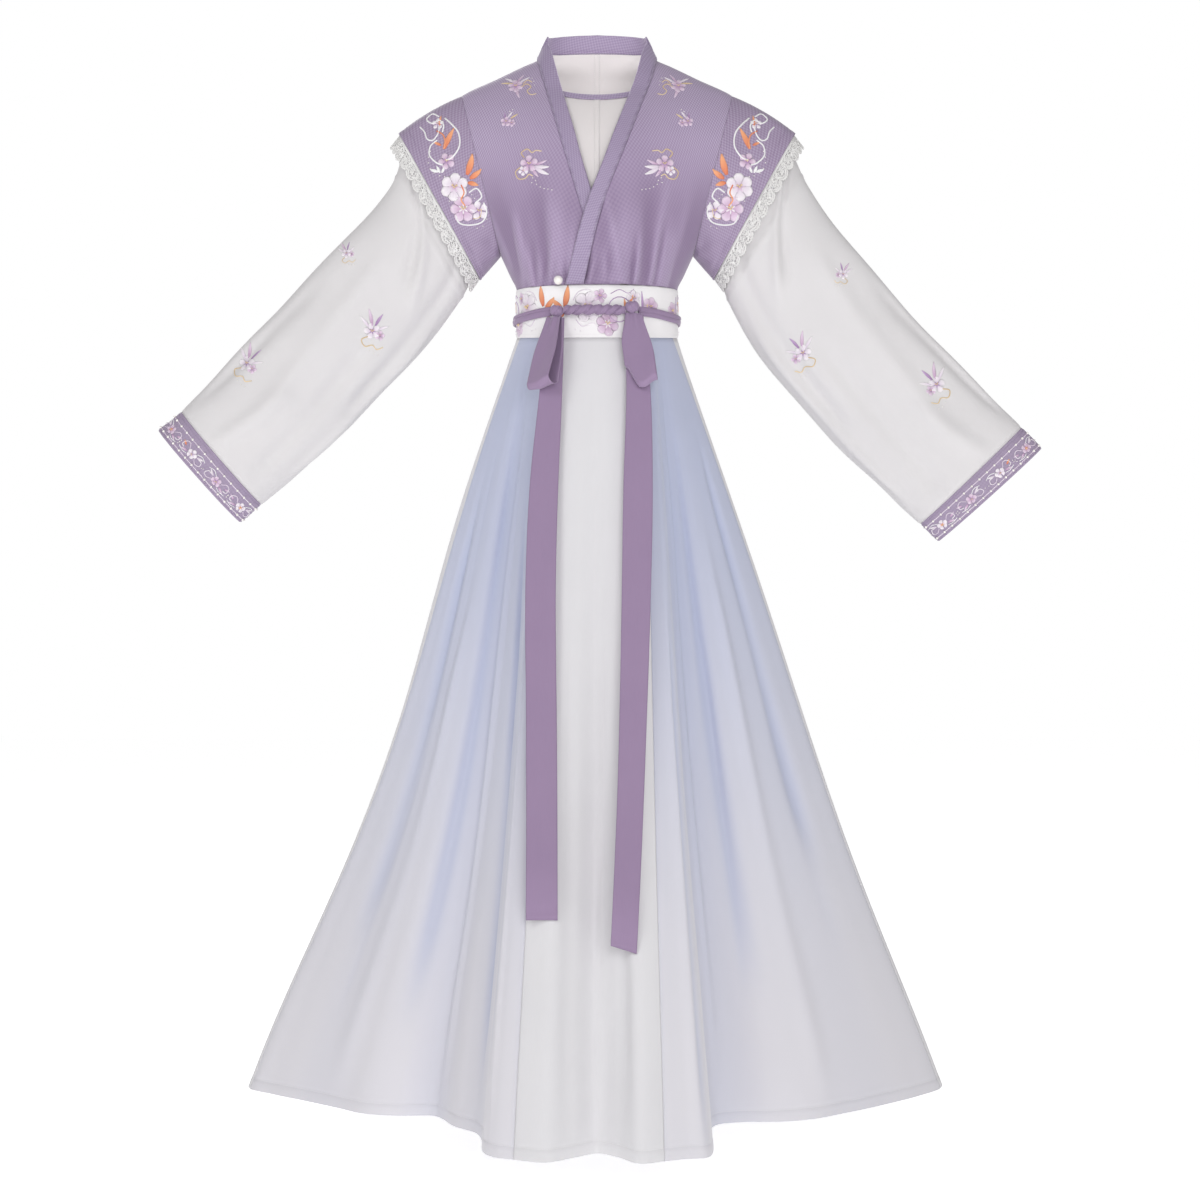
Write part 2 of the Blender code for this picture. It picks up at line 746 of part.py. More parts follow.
def main():
    clear_scene()
    full = 2 * math.pi

    # Skirt: white middle front, a blue gore each side of it, and a white back that reaches round to the sides.
    down = spaced(0, 1, SKIRT_ROWS)
    gores = {
        "skirt_front": (FRONT_SEAMS[1], FRONT_SEAMS[0], "white"),
        "skirt_blue_left": (FRONT_SEAMS[0], SIDE_SEAMS[0], "blue"),
        "skirt_blue_right": (SIDE_SEAMS[1], FRONT_SEAMS[1], "blue"),
        "skirt_back": (SIDE_SEAMS[0], len(SKIRT_FOLDS) + SIDE_SEAMS[1], "white"),
    }
    for name, (first, last, colour) in gores.items():
        sheet(name, skirt_face, spaced(first, last, 2 * (last - first)), down, SKIRT_CLOTH, colour, inward=-1)

    # Waistband and belt.
    around = np.arange(40) * 9
    sheet("waistband", waistband_face, around, spaced(0, 1, 1), WAISTBAND_CLOTH, "waistband", ring=True, inward=-1)
    sheet("belt_band", belt_face, spaced(36, 324, 32), spaced(0, 1, 1), BELT_PLY, "belt", inward=-1)
    build_twist()
    for side in ("right", "left"):
        build_knot(side)
        sheet(f"belt_loop_{side}", loop_face(side), spaced(16, 344, 16), spaced(0, 1, 2), BELT_CLOTH, "belt")
        sheet(f"belt_tail_{side}", tail_face(side), spaced(0, 1, 1), spaced(0, 1, 12), BELT_CLOTH, "belt", inward=-1)

    # Jacket. Its rows meet the cap sleeves' points, and its columns and the collar's stations meet each other.
    front_angles = np.array([0, 5, *range(15, 181, 15)])
    ring = np.radians(np.concatenate([front_angles, 360 - front_angles[-2:0:-1]]))
    rows = [ARMPIT_SHARE * angle / 180 for angle in front_angles] + [0.91, 1]
    across = spaced(0, 1, 14)
    nape = [0, 1, 2, 3, 3.5, 4]
    half_back = [collar_seam("right", k)[0] / SHOULDER[0] for k in nape]
    half_back += [shoulder_line(s)[0] / SHOULDER[0] for s in across[2::2]]
    half_back[-1] = 1.0
    back_columns = [-s for s in half_back[:0:-1]] + half_back
    stations = nape + [4 + 8 * t for t in rows[1:]]
    stations = [-k for k in stations[:0:-1]] + stations
    sheet("jacket_front_right", front_face("right"), across, rows, JACKET_CLOTH, "lilac", inward=1)
    sheet("jacket_front_left", front_face("left"), across, rows, JACKET_CLOTH, "lilac", inward=-1)
    sheet("jacket_back", back_face, back_columns, rows, JACKET_CLOTH, "lilac", inward=1)
    sheet("collar", collar_face, stations, spaced(0, 1, 2), BAND_CLOTH, "lilac", short=1.1)

    # Inner shirt.
    inset = shirt_inset(SHIRT_BACK_INSET)
    sheet("shirt_back", plain_back_face, back_columns, rows, SHIRT_CLOTH, "white", inset=inset, short=1)
    inset = shirt_inset(SHIRT_FRONT_INSET)
    sheet("shirt_front", shirt_front_face, spaced(-1, 1, 18), rows, SHIRT_CLOTH, "white", inward=-1, inset=inset)
    sheet("neckline_binding", binding_face, spaced(-0.97, 0.97, 16), spaced(0, 1, 1), 1.5, "lilac", inward=-1, inset=3.2)

    # Sleeves.
    for side, table in (("right", RIGHT_SLEEVE), ("left", LEFT_SLEEVE)):
        turn = -SIGN[side]
        cap, sleeve, lace = mirrored(cap_face, side), mirrored(sleeve_face(table), side), mirrored(lace_face, side)
        sheet(f"cap_sleeve_{side}", cap, ring, spaced(0, 1, 4), JACKET_CLOTH, "lilac", ring=True, inward=turn, short=0.6)
        fine_ring = np.arange(3 * LACE_SCALLOPS) * full / (3 * LACE_SCALLOPS)
        sheet(f"lace_{side}", lace, fine_ring, spaced(0, 1, 1), LACE_CLOTH, "lace", ring=True, inward=turn)
        sheet(f"sleeve_{side}", sleeve, ring, spaced(0, 6, 8), SLEEVE_CLOTH, "white", ring=True, inward=turn)
        sheet(f"cuff_{side}", sleeve, ring, spaced(6, 7, 1), BAND_CLOTH, "lilac", ring=True, inward=turn)

    # Pearl button at the lapel's lower end.
    x, drop, radius = PEARL
    raised = gathered(abs(x), drop, GATHERS["right"])
    y = on_torso(abs(x) - radius, drop, -1, raised)[1] - radius - 0.2
    rings = []
    for k in range(1, 6):
        polar = math.pi * k / 6
        rings.append(
            [
                (
                    x + radius * math.sin(polar) * math.cos(full * a / 10),
                    y - radius * math.cos(polar),
                    -drop + radius * math.sin(polar) * math.sin(full * a / 10),
                )
                for a in range(10)
            ]
        )
    loft("pearl_button", rings, "pearl", roughness=0.25)


main()
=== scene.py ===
"""A hanfu robe in its worn, hollow form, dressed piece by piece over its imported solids.

Sizes are in millimetres here and become metres in the meshes. +X is the wearer's left, -Y the front, +Z up.
The origin is the middle of the neck's base. A drop is a height measured downwards from there.
"""

import math

import bpy
import numpy as np
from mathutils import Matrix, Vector
from mathutils.bvhtree import BVHTree


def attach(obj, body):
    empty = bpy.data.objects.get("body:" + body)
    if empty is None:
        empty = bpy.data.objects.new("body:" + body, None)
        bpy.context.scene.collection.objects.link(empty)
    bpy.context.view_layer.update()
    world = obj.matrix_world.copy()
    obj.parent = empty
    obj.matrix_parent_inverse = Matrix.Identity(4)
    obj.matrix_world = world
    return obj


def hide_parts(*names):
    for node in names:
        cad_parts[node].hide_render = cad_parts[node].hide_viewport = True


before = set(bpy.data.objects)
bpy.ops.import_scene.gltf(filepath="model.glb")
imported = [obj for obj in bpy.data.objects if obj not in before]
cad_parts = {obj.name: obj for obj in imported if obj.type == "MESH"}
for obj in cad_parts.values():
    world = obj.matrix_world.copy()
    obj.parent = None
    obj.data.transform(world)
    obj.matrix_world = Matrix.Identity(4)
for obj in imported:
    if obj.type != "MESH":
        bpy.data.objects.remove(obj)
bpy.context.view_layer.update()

# Camera, light and floor. The robe was photographed straight on and level with its middle, on white, in soft
# light that comes a little more from the upper left.
MM = 0.001
CAMERA_PLACE = (0.004, -3.2, -0.712)
CAMERA_LENS = 72
ROOM_LIGHT = 0.35
PAPER_LIGHT = 1.0
LIT_PLACE = Vector((0, 0, -0.6))
# Place, width and power of each lamp panel
PANELS = {
    "key": ((-1.7, -2.4, 1.4), 1.2, 22),
    "fill": ((0.7, -3.4, 0.2), 1.6, 41),
    "rear": ((-1.2, 2.8, 1.2), 2.0, 35),
}
NECK_LAMP_PLACE = (0, -0.02, -0.01)
NECK_LAMP_POWER = 0.14
FLOOR_DROP = 1420
FLOOR_REACH = 9


def add_object(name, data, place=(0, 0, 0)):
    thing = bpy.data.objects.new(name, data)
    thing.location = place
    bpy.context.scene.collection.objects.link(thing)
    return thing


def new_material(name):
    """A material, its node tree and its Principled BSDF."""
    material = bpy.data.materials.new(name)
    material.use_nodes = True
    return material, material.node_tree, material.node_tree.nodes["Principled BSDF"]


def set_inputs(node, **values):
    """Sets a node's inputs, whose names are written with _ for a space."""
    for label, value in values.items():
        node.inputs[label.replace("_", " ")].default_value = value


camera = add_object("camera", bpy.data.cameras.new("camera"), CAMERA_PLACE)
camera.data.lens = CAMERA_LENS
camera.rotation_euler = (math.pi / 2, 0, 0)
bpy.context.scene.camera = camera
bpy.context.scene.view_settings.view_transform = "Standard"

world = bpy.data.worlds.new("studio")
world.use_nodes = True
bpy.context.scene.world = world
# The paper behind the robe is burnt out to white, brighter than the light that it throws on the cloth.
paper = world.node_tree.nodes["Background"]
set_inputs(paper, Color=(1, 1, 1, 1))
rays = world.node_tree.nodes.new("ShaderNodeLightPath")
glow = world.node_tree.nodes.new("ShaderNodeMapRange")
set_inputs(glow, To_Min=ROOM_LIGHT, To_Max=PAPER_LIGHT)
world.node_tree.links.new(rays.outputs["Is Camera Ray"], glow.inputs["Value"])
world.node_tree.links.new(glow.outputs[0], paper.inputs["Strength"])

for name, (place, width, power) in PANELS.items():
    panel = add_object(name, bpy.data.lights.new(name, "AREA"), place)
    panel.data.size = width
    panel.data.energy = power
    panel.rotation_euler = (LIT_PLACE - Vector(place)).to_track_quat("-Z", "Y").to_euler()

# A small lamp in the neck's hollow, as a photographer lifts the dark inside.
neck_lamp = add_object("neck_lamp", bpy.data.lights.new("neck_lamp", "POINT"), NECK_LAMP_PLACE)
neck_lamp.data.energy = NECK_LAMP_POWER
neck_lamp.data.shadow_soft_size = 0.03
neck_lamp.visible_camera = False

floor_mesh = bpy.data.meshes.new("floor")
sides = ((-1, -1), (1, -1), (1, 1), (-1, 1))
corners = [(x * FLOOR_REACH, y * FLOOR_REACH, -FLOOR_DROP * MM) for x, y in sides]
floor_mesh.from_pydata(corners, [], [(0, 1, 2, 3)])
floor_material, _, floor_shader = new_material("studio_floor")
set_inputs(floor_shader, Base_Color=(0.95, 0.95, 0.95, 1), Roughness=0.9)
set_inputs(floor_shader, Emission_Color=(1, 1, 1, 1), Emission_Strength=0.66)
floor_mesh.materials.append(floor_material)
add_object("floor", floor_mesh)

# Skirt. Four panels of fine voile hang from the waistband: a white one in front, a dyed one each side of it
# and a white one round the back. The side panels are dip-dyed, blue at the waist and pale at the hem.

# Each fold's angles at waist and hem, from the front towards the wearer's left, and the hem's radius
SKIRT_FOLDS = (
    (0, 0, 378),
    (12, 3.6, 398),
    (24, 6.6, 432),
    (35.5, 10.8, 424),
    (38, 14.6, 419),
    (41, 18.2, 418),
    (43, 21.5, 378),
    (45, 26, 312),
    (48, 33, 270),
    (51, 41, 276),
    (54, 48, 308),
    (58, 55, 332),
    (62, 64, 352),
    (66, 74, 384),
    (69, 83, 424),
    (71, 90.3, 459),
    (79, 97, 462),
    (87, 103, 430),
    (96, 110, 402),
    (105, 118, 404),
    (113, 126, 390),
    (122, 135, 354),
    (131, 144, 358),
    (141, 153, 364),
    (151, 162, 342),
    (160, 170, 322),
    (169, 177, 334),
    (178, 184, 338),
    (188, 192, 318),
    (198, 201, 322),
    (208, 211, 348),
    (218, 220, 352),
    (228, 229, 338),
    (239, 239, 362),
    (250, 249, 402),
    (262, 257, 420),
    (274, 264, 462),
    (286, 270.2, 463),
    (290, 275, 430),
    (294, 282, 388),
    (297, 290, 356),
    (300, 298, 336),
    (303, 304, 306),
    (306, 309, 270),
    (309, 315, 272),
    (312, 323, 292),
    (315, 331, 306),
    (318, 336, 340),
    (320, 340, 392),
    (322, 343, 414),
    (325.8, 346.6, 420),
    (338, 352, 428),
    (349, 356, 402),
)
FOLD_ROWS = len(SKIRT_FOLDS)
FRONT_SEAMS = (3, -3)
SIDE_SEAMS = (15, -16)
SKIRT_WAIST = (106.7, 92, 85)
SKIRT_DROP = 363
SKIRT_TILT = 0.1
HEM_DROP = 1363
FLARE_HOLLOWS = ((0.072, 1.25), (0.03, 1.6))
SKIRT_CLOTH = 0.9
HEM_TURN = 13
# Metres down the cloth where the blue starts to fade and where it has gone
DYE_FADES = (0.05, 0.98)
HEM_GREY = (0.675, 0.66, 0.70)
# Painted shade: the darker blue that the dyed panels take in the hollows of their folds, and its greatest
# share
FOLD_SHADE_BLUE = (0.40, 0.445, 0.625)
SKIRT_FOLD_SHADE = 0.55
# Creases: fold row and share of the way down where each starts and where it ends, width in rows, height
SKIRT_CREASES = (
    (-8.6, 0.06, -9.4, 1.0, 0.28, 2.6),
    (-7.2, 0.18, -6.9, 0.95, 0.22, -2.2),
    (-10.6, 0.1, -11.2, 0.9, 0.4, -2.8),
    (-12.6, 0.3, -13.1, 1.0, 0.35, 2.4),
    (-14.2, 0.15, -14.0, 0.8, 0.3, -2.0),
    (-4.6, 0.25, -4.4, 1.0, 0.2, 1.6),
    (-3.5, 0.02, -3.4, 0.6, 0.15, -1.5),
    (7.6, 0.05, 8.3, 1.0, 0.3, 2.4),
    (9.4, 0.1, 9.9, 0.85, 0.35, -2.6),
    (11.2, 0.22, 11.5, 1.0, 0.35, 2.6),
    (12.9, 0.12, 13.2, 0.7, 0.3, -2.2),
    (5.2, 0.3, 5.0, 1.0, 0.25, -1.8),
    (1.3, 0.35, 1.4, 1.0, 0.3, -2.2),
    (0.2, 0.5, 0.1, 1.0, 0.3, 2.0),
    (-1.5, 0.3, -1.3, 1.0, 0.28, -1.8),
    (-2.4, 0.12, -2.3, 0.7, 0.2, 1.2),
    (16.6, 0.02, 16.8, 0.9, 0.35, -2.4),
    (18.4, 0.02, 18.9, 1.0, 0.4, -3.2),
    (20.3, 0.05, 20.1, 0.8, 0.35, 2.6),
    (22.1, 0.02, 22.5, 1.0, 0.4, -3.4),
    (24.4, 0.02, 24.2, 0.7, 0.35, 2.8),
    (25.9, 0.04, 26.3, 1.0, 0.35, -2.6),
    (28.2, 0.02, 28.4, 0.9, 0.4, 3.0),
    (30.4, 0.02, 30.1, 1.0, 0.38, -3.2),
    (32.3, 0.1, 32.6, 0.75, 0.35, 2.4),
    (34.2, 0.02, 34.0, 1.0, 0.4, -3.0),
    (36.0, 0.05, 35.7, 0.9, 0.35, 2.2),
)


def curve(rows):
    """A smooth function of arrays, through rows of numbers whose first column is the station along it."""
    rows = np.array(rows, dtype=float)
    at, values = rows[:, 0], rows[:, 1:]
    slope = np.gradient(values, at, axis=0)

    def value(t):
        t = np.clip(np.asarray(t, dtype=float), at[0], at[-1])
        i = np.clip(np.searchsorted(at, t, side="right") - 1, 0, len(at) - 2)
        span = (at[i + 1] - at[i])[..., None]
        f = (t - at[i])[..., None] / span
        near = (1 + 2 * f) * values[i] + f * span * slope[i]
        far = (3 - 2 * f) * values[i + 1] - (1 - f) * span * slope[i + 1]
        return (1 - f) ** 2 * near + f * f * far

    return value


def ease(value):
    """0 below 0, 1 above 1, and a smooth rise between."""
    value = np.clip(value, 0.0, 1.0)
    return value * value * (3 - 2 * value)


def bell(away):
    """A ridge 1 high at 0, that has died out at about 2."""
    return np.exp(-(away**2))


def unit(vectors):
    return vectors / np.maximum(np.linalg.norm(vectors, axis=-1, keepdims=True), 1e-12)


def joined(*columns):
    """Points out of arrays of their coordinates."""
    return np.stack(columns, axis=-1)


def grid(us, vs):
    """Two arrays of the same shape, for surfaces that take whole arrays."""
    return np.meshgrid(np.asarray(us, dtype=float), np.asarray(vs, dtype=float), indexing="ij")


def grid_normals(points, ring):
    across = np.roll(points, -1, 0) - np.roll(points, 1, 0) if ring else np.gradient(points, axis=0)
    return unit(np.cross(across, np.gradient(points, axis=1)))


def lifted(points, ring, height):
    """A grid of points moved along its normals."""
    return points + grid_normals(points, ring) * height[..., None]


def soft_creases(u, v, rows):
    """Height of ridges and troughs along straight lines of the cloth, fading at both ends."""
    height = np.zeros_like(u)
    for u0, v0, u1, v1, width, tall in rows:
        share = (v - v0) / (v1 - v0)
        away = (u - u0 - (u1 - u0) * share) / width
        fade = ease(share / 0.25) * ease((1.02 - share) / 0.2)
        height += tall * fade * bell(away) * (1 + 0.25 * np.sin(9 * share + u0))
    return height


def lie_along(points, ring):
    """Lengths along a grid of points in metres, for cloth patterns: across and down."""
    steps = np.linalg.norm(np.diff(points, axis=0, append=points[:1]), axis=2).mean(axis=1)
    across = np.concatenate([[0], np.cumsum(steps)]) * MM
    down = np.zeros(points.shape[:2])
    down[:, 1:] = np.cumsum(np.linalg.norm(np.diff(points, axis=1), axis=2), axis=1) * MM
    return across if ring else across[:-1], down.mean(axis=0)


def linked_mesh(name, points, faces, face_uvs, materials):
    """A mesh object from points in millimetres, on the robe's body."""
    mesh = bpy.data.meshes.new(name)
    mesh.from_pydata((np.asarray(points) * MM).tolist(), [], faces)
    for material in materials:
        mesh.materials.append(material)
    flat = np.asarray(face_uvs, dtype=np.float32).ravel()
    mesh.uv_layers.new(name="cloth").data.foreach_set("uv", flat)
    mesh.polygons.foreach_set("use_smooth", [True] * len(mesh.polygons))
    thing = add_object(name, mesh)
    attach(thing, "root")
    return thing


def shell(name, points, outwards, thick, material, ring=False):
    """A thin closed sheet of cloth under a grid of points. outwards is 1 or -1, the way its normals face."""
    across, down = points.shape[:2]
    inner = points - grid_normals(points, ring) * outwards * thick
    lengths, depths = lie_along(points, ring)
    i, j = np.meshgrid(np.arange(across if ring else across - 1), np.arange(down - 1), indexing="ij")
    i, j = i.ravel(), j.ravel()
    k = (i + 1) % across
    corners = np.stack([i * down + j, k * down + j, k * down + j + 1, i * down + j + 1], axis=1)
    ends = ((i, j), (i + 1, j), (i + 1, j + 1), (i, j + 1))
    places = np.stack([np.stack([lengths[a], depths[b]], axis=1) for a, b in ends], axis=1)
    beneath = across * down
    faces = [corners, corners[:, ::-1] + beneath]
    uvs = [places, places[:, ::-1]]
    for edge in (0, down - 1):
        a = np.arange(across if ring else across - 1)
        rim = np.stack([a * down, (a + 1) % across * down], axis=1) + edge
        rim = np.concatenate([rim[:, ::-1], rim + beneath], axis=1)
        faces.append(rim if edge == 0 else rim[:, ::-1])
        flat = np.stack([lengths[a], lengths[a + 1]], axis=1)
        flat = np.concatenate([flat[:, ::-1], flat], axis=1)
        flat = np.stack([flat, np.full_like(flat, depths[edge])], axis=2)
        uvs.append(flat if edge == 0 else flat[:, ::-1])
    if not ring:
        for edge in (0, across - 1):
            b = np.arange(down - 1)
            rim = np.stack([b, b + 1], axis=1) + edge * down
            rim = np.concatenate([rim, rim[:, ::-1] + beneath], axis=1)
            faces.append(rim if edge == 0 else rim[:, ::-1])
            flat = np.stack([depths[b], depths[b + 1]], axis=1)
            flat = np.concatenate([flat, flat[:, ::-1]], axis=1)
            flat = np.stack([np.full_like(flat, lengths[edge]), flat], axis=2)
            uvs.append(flat if edge == 0 else flat[:, ::-1])
    faces, uvs = np.concatenate(faces), np.concatenate(uvs)
    both = np.concatenate([points.reshape(-1, 3), inner.reshape(-1, 3)])
    a, b, c, d = (both[faces[:, n]] for n in range(4))
    volume = np.einsum("ij,ij->", a, np.cross(b, c)) + np.einsum("ij,ij->", a, np.cross(c, d))
    if volume < 0:
        faces, uvs = faces[:, ::-1], uvs[:, ::-1]
    return linked_mesh(name, both, faces.tolist(), uvs, [material])


def group_of(name, inputs, outputs):
    """A new shader node group with named sockets, and its input and output nodes."""
    group = bpy.data.node_groups.new(name, "ShaderNodeTree")
    for label, kind, start in inputs:
        socket = group.interface.new_socket(label, in_out="INPUT", socket_type=kind)
        if start is not None:
            socket.default_value = start
    for label, kind in outputs:
        group.interface.new_socket(label, in_out="OUTPUT", socket_type=kind)
    return group, group.nodes.new("NodeGroupInput"), group.nodes.new("NodeGroupOutput")


def maths(tree, operation, *values):
    """A Math node whose inputs are sockets or numbers. Its output socket is given back."""
    node = tree.nodes.new("ShaderNodeMath")
    node.operation = operation
    for place, value in enumerate(values):
        if isinstance(value, (int, float)):
            node.inputs[place].default_value = value
        else:
            tree.links.new(value, node.inputs[place])
    return node.outputs[0]


def mixed(tree, factor, first, second):
    """A Mix node for colours, given as sockets or as (r, g, b)."""
    node = tree.nodes.new("ShaderNodeMix")
    node.data_type = "RGBA"
    for socket, value in ((node.inputs[0], factor), (node.inputs[6], first), (node.inputs[7], second)):
        if isinstance(value, tuple):
            socket.default_value = (*value, 1)
        elif isinstance(value, (int, float)):
            socket.default_value = value
        else:
            tree.links.new(value, socket)
    return node.outputs[2]


def grouped(tree, group, place):
    """A node of a shader group that reads the cloth's flat position."""
    node = tree.nodes.new("ShaderNodeGroup")
    node.node_tree = group
    tree.links.new(place, node.inputs["Position"])
    return node


def parts_of(tree, vector):
    """The x, y and z sockets of a vector socket."""
    split = tree.nodes.new("ShaderNodeSeparateXYZ")
    tree.links.new(vector, split.inputs[0])
    return split.outputs


def fading(tree, value, start, end, **values):
    """A Map Range node that gives 0 to 1 as a value goes from start to end, unless values say otherwise."""
    node = tree.nodes.new("ShaderNodeMapRange")
    set_inputs(node, From_Min=start, From_Max=end, **values)
    tree.links.new(value, node.inputs["Value"])
    return node


def woven_relief(tree, height, strength):
    """Threads of a weave, 0.3 mm high at most, as bump on the tree's shader."""
    bump = tree.nodes.new("ShaderNodeBump")
    set_inputs(bump, Strength=strength, Distance=0.0003)
    tree.links.new(height, bump.inputs["Height"])
    tree.links.new(bump.outputs[0], tree.nodes["Principled BSDF"].inputs["Normal"])


def cloth_place(tree):
    """The flat position on the cloth, in metres."""
    place = tree.nodes.new("ShaderNodeUVMap")
    place.uv_map = "cloth"
    return place.outputs[0]


def mark_points(piece, name, values):
    """Keeps a value at each point of a piece for its material."""
    piece.data.attributes.new(name, "FLOAT", "POINT").data.foreach_set("value", values)


def marked(tree, name):
    """The socket of a value that a piece keeps at its points."""
    node = tree.nodes.new("ShaderNodeAttribute")
    node.attribute_name = name
    return node.outputs["Fac"]


def dress(piece):
    """Hides the solid that a piece stands in for."""
    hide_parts(piece.name.replace("dressed_", ""))


def crossed_waves(tree, place, pitch):
    """The product of two sine waves, across and down the cloth."""
    ways = parts_of(tree, place)[:2]
    turns = [maths(tree, "MULTIPLY", maths(tree, "DIVIDE", way, pitch), math.pi) for way in ways]
    return maths(tree, "MULTIPLY", *(maths(tree, "SINE", turn) for turn in turns))


def weave_group():
    """Plain weave: threads over and under, from a flat position in metres."""
    group, inside, outside = group_of(
        "plain_weave",
        (("Position", "NodeSocketVector", None), ("Thread", "NodeSocketFloat", 0.0006)),
        (("Height", "NodeSocketFloat"),),
    )
    crossed = crossed_waves(group, inside.outputs["Position"], inside.outputs["Thread"])
    height = maths(group, "ADD", maths(group, "MULTIPLY", crossed, 0.5), 0.5)
    group.links.new(height, outside.inputs["Height"])
    return group


def mottle_group():
    """Slow and fast unevenness of dye and thread, as two masks."""
    group, inside, outside = group_of(
        "uneven_dye",
        (("Position", "NodeSocketVector", None),),
        (("Slow", "NodeSocketFloat"), ("Slub", "NodeSocketFloat")),
    )
    slow = group.nodes.new("ShaderNodeTexNoise")
    set_inputs(slow, Scale=9, Detail=3)
    group.links.new(inside.outputs["Position"], slow.inputs["Vector"])
    stretch = group.nodes.new("ShaderNodeVectorMath")
    stretch.operation = "MULTIPLY"
    stretch.inputs[1].default_value = (1400, 60, 1)
    group.links.new(inside.outputs["Position"], stretch.inputs[0])
    slub = group.nodes.new("ShaderNodeTexNoise")
    set_inputs(slub, Scale=1, Detail=2)
    group.links.new(stretch.outputs[0], slub.inputs["Vector"])
    group.links.new(slow.outputs["Fac"], outside.inputs["Slow"])
    group.links.new(slub.outputs["Fac"], outside.inputs["Slub"])
    return group


plain_weave = weave_group()
uneven_dye = mottle_group()


def cloth_parts(name, colour, deep, roughness, sheen, thread=0.0006, bump=0.25, alpha=1.0):
    """A woven cloth in a colour with deeper patches and threads of a size in metres.

    It gives back the material, the socket of its colour and that of its flat position.
    """
    material, tree, shader = new_material(name)
    set_inputs(shader, Roughness=roughness, Alpha=alpha, Specular_IOR_Level=0.3)
    set_inputs(shader, Sheen_Weight=sheen, Sheen_Roughness=0.4)
    place = cloth_place(tree)
    dye = grouped(tree, uneven_dye, place)
    weave = grouped(tree, plain_weave, place)
    weave.inputs["Thread"].default_value = thread
    share = maths(tree, "MULTIPLY", dye.outputs["Slow"], 0.5)
    share = maths(tree, "ADD", share, maths(tree, "MULTIPLY", dye.outputs["Slub"], 0.35))
    base = mixed(tree, share, colour, deep)
    tree.links.new(base, shader.inputs["Base Color"])
    woven_relief(tree, weave.outputs["Height"], bump)
    return material, base, place


def cloth(*settings, **more):
    return cloth_parts(*settings, **more)[0]


white_voile = cloth("white_voile", (0.735, 0.725, 0.745), (0.65, 0.64, 0.66), 0.8, 0.15)


def dip_dyed():
    """Blue at the waist, pale grey with a breath of lilac at the hem, and a darker blue painted into the deep
    folds as shade.
    """
    material, base, place = cloth_parts(
        "dip_dyed_voile", (0.50, 0.528, 0.662), (0.44, 0.475, 0.625), 0.8, 0.2
    )
    tree = material.node_tree
    fade = fading(tree, parts_of(tree, place)[1], *DYE_FADES)
    fade.interpolation_type = "SMOOTHSTEP"
    pale = mixed(tree, fade.outputs[0], base, HEM_GREY)
    # Painted shade: the darker blue mixed in where the folds lie deep
    deep = maths(tree, "MULTIPLY", marked(tree, "fold_shade"), SKIRT_FOLD_SHADE)
    tree.links.new(mixed(tree, deep, pale, FOLD_SHADE_BLUE), tree.nodes["Principled BSDF"].inputs["Base Color"])
    return material


dip_dye = dip_dyed()


def skirt_rows():
    """The fold rows with their neighbours from a turn before and after, so that the curve closes."""
    rows = []
    for i in range(-20, FOLD_ROWS + 3):
        turn = 360 * (i // FOLD_ROWS)
        waist, hem, radius = SKIRT_FOLDS[i % FOLD_ROWS]
        rows.append((i, waist + turn, hem + turn, radius))
    return curve(rows)


skirt_row = skirt_rows()


def oval(angle, half_width, front, back):
    """A point of the waist's plan, at an angle in degrees from the front."""
    turn = np.radians(angle)
    depth = np.where(np.cos(turn) > 0, front, back)
    return half_width * np.sin(turn), -depth * np.cos(turn)


def skirt_surface(u, t):
    """u is a row of the fold table, t the share of the way from waist (0) to hem (1)."""
    row = skirt_row(u)
    x, y = oval(row[..., 0], *SKIRT_WAIST)
    turn = np.radians(row[..., 1])
    hem_x, hem_y = row[..., 2] * np.sin(turn), -row[..., 2] * np.cos(turn)
    right, left = (deep * np.sin(math.pi * t**low) ** 2 for deep, low in FLARE_HOLLOWS)
    share = (1 + np.sin(turn)) / 2
    out = t - right * (1 - share) - left * share
    top = SKIRT_DROP - SKIRT_TILT * y
    return joined(x + (hem_x - x) * out, y + (hem_y - y) * out, -(top + (HEM_DROP - top) * t))


def skirt_shares():
    """Rows down a skirt panel, closer where its hem is turned up and stitched."""
    above_hem = [HEM_TURN + 1.2, HEM_TURN + 0.4, HEM_TURN - 0.4, HEM_TURN - 1.4, 9, 5, 2.2, 0.8, 0]
    hem = 1 - np.array(above_hem) / 1000
    return np.concatenate([np.linspace(0, 0.02, 4), np.linspace(0.03, 0.98, 54), hem])


skirt_grids = {}


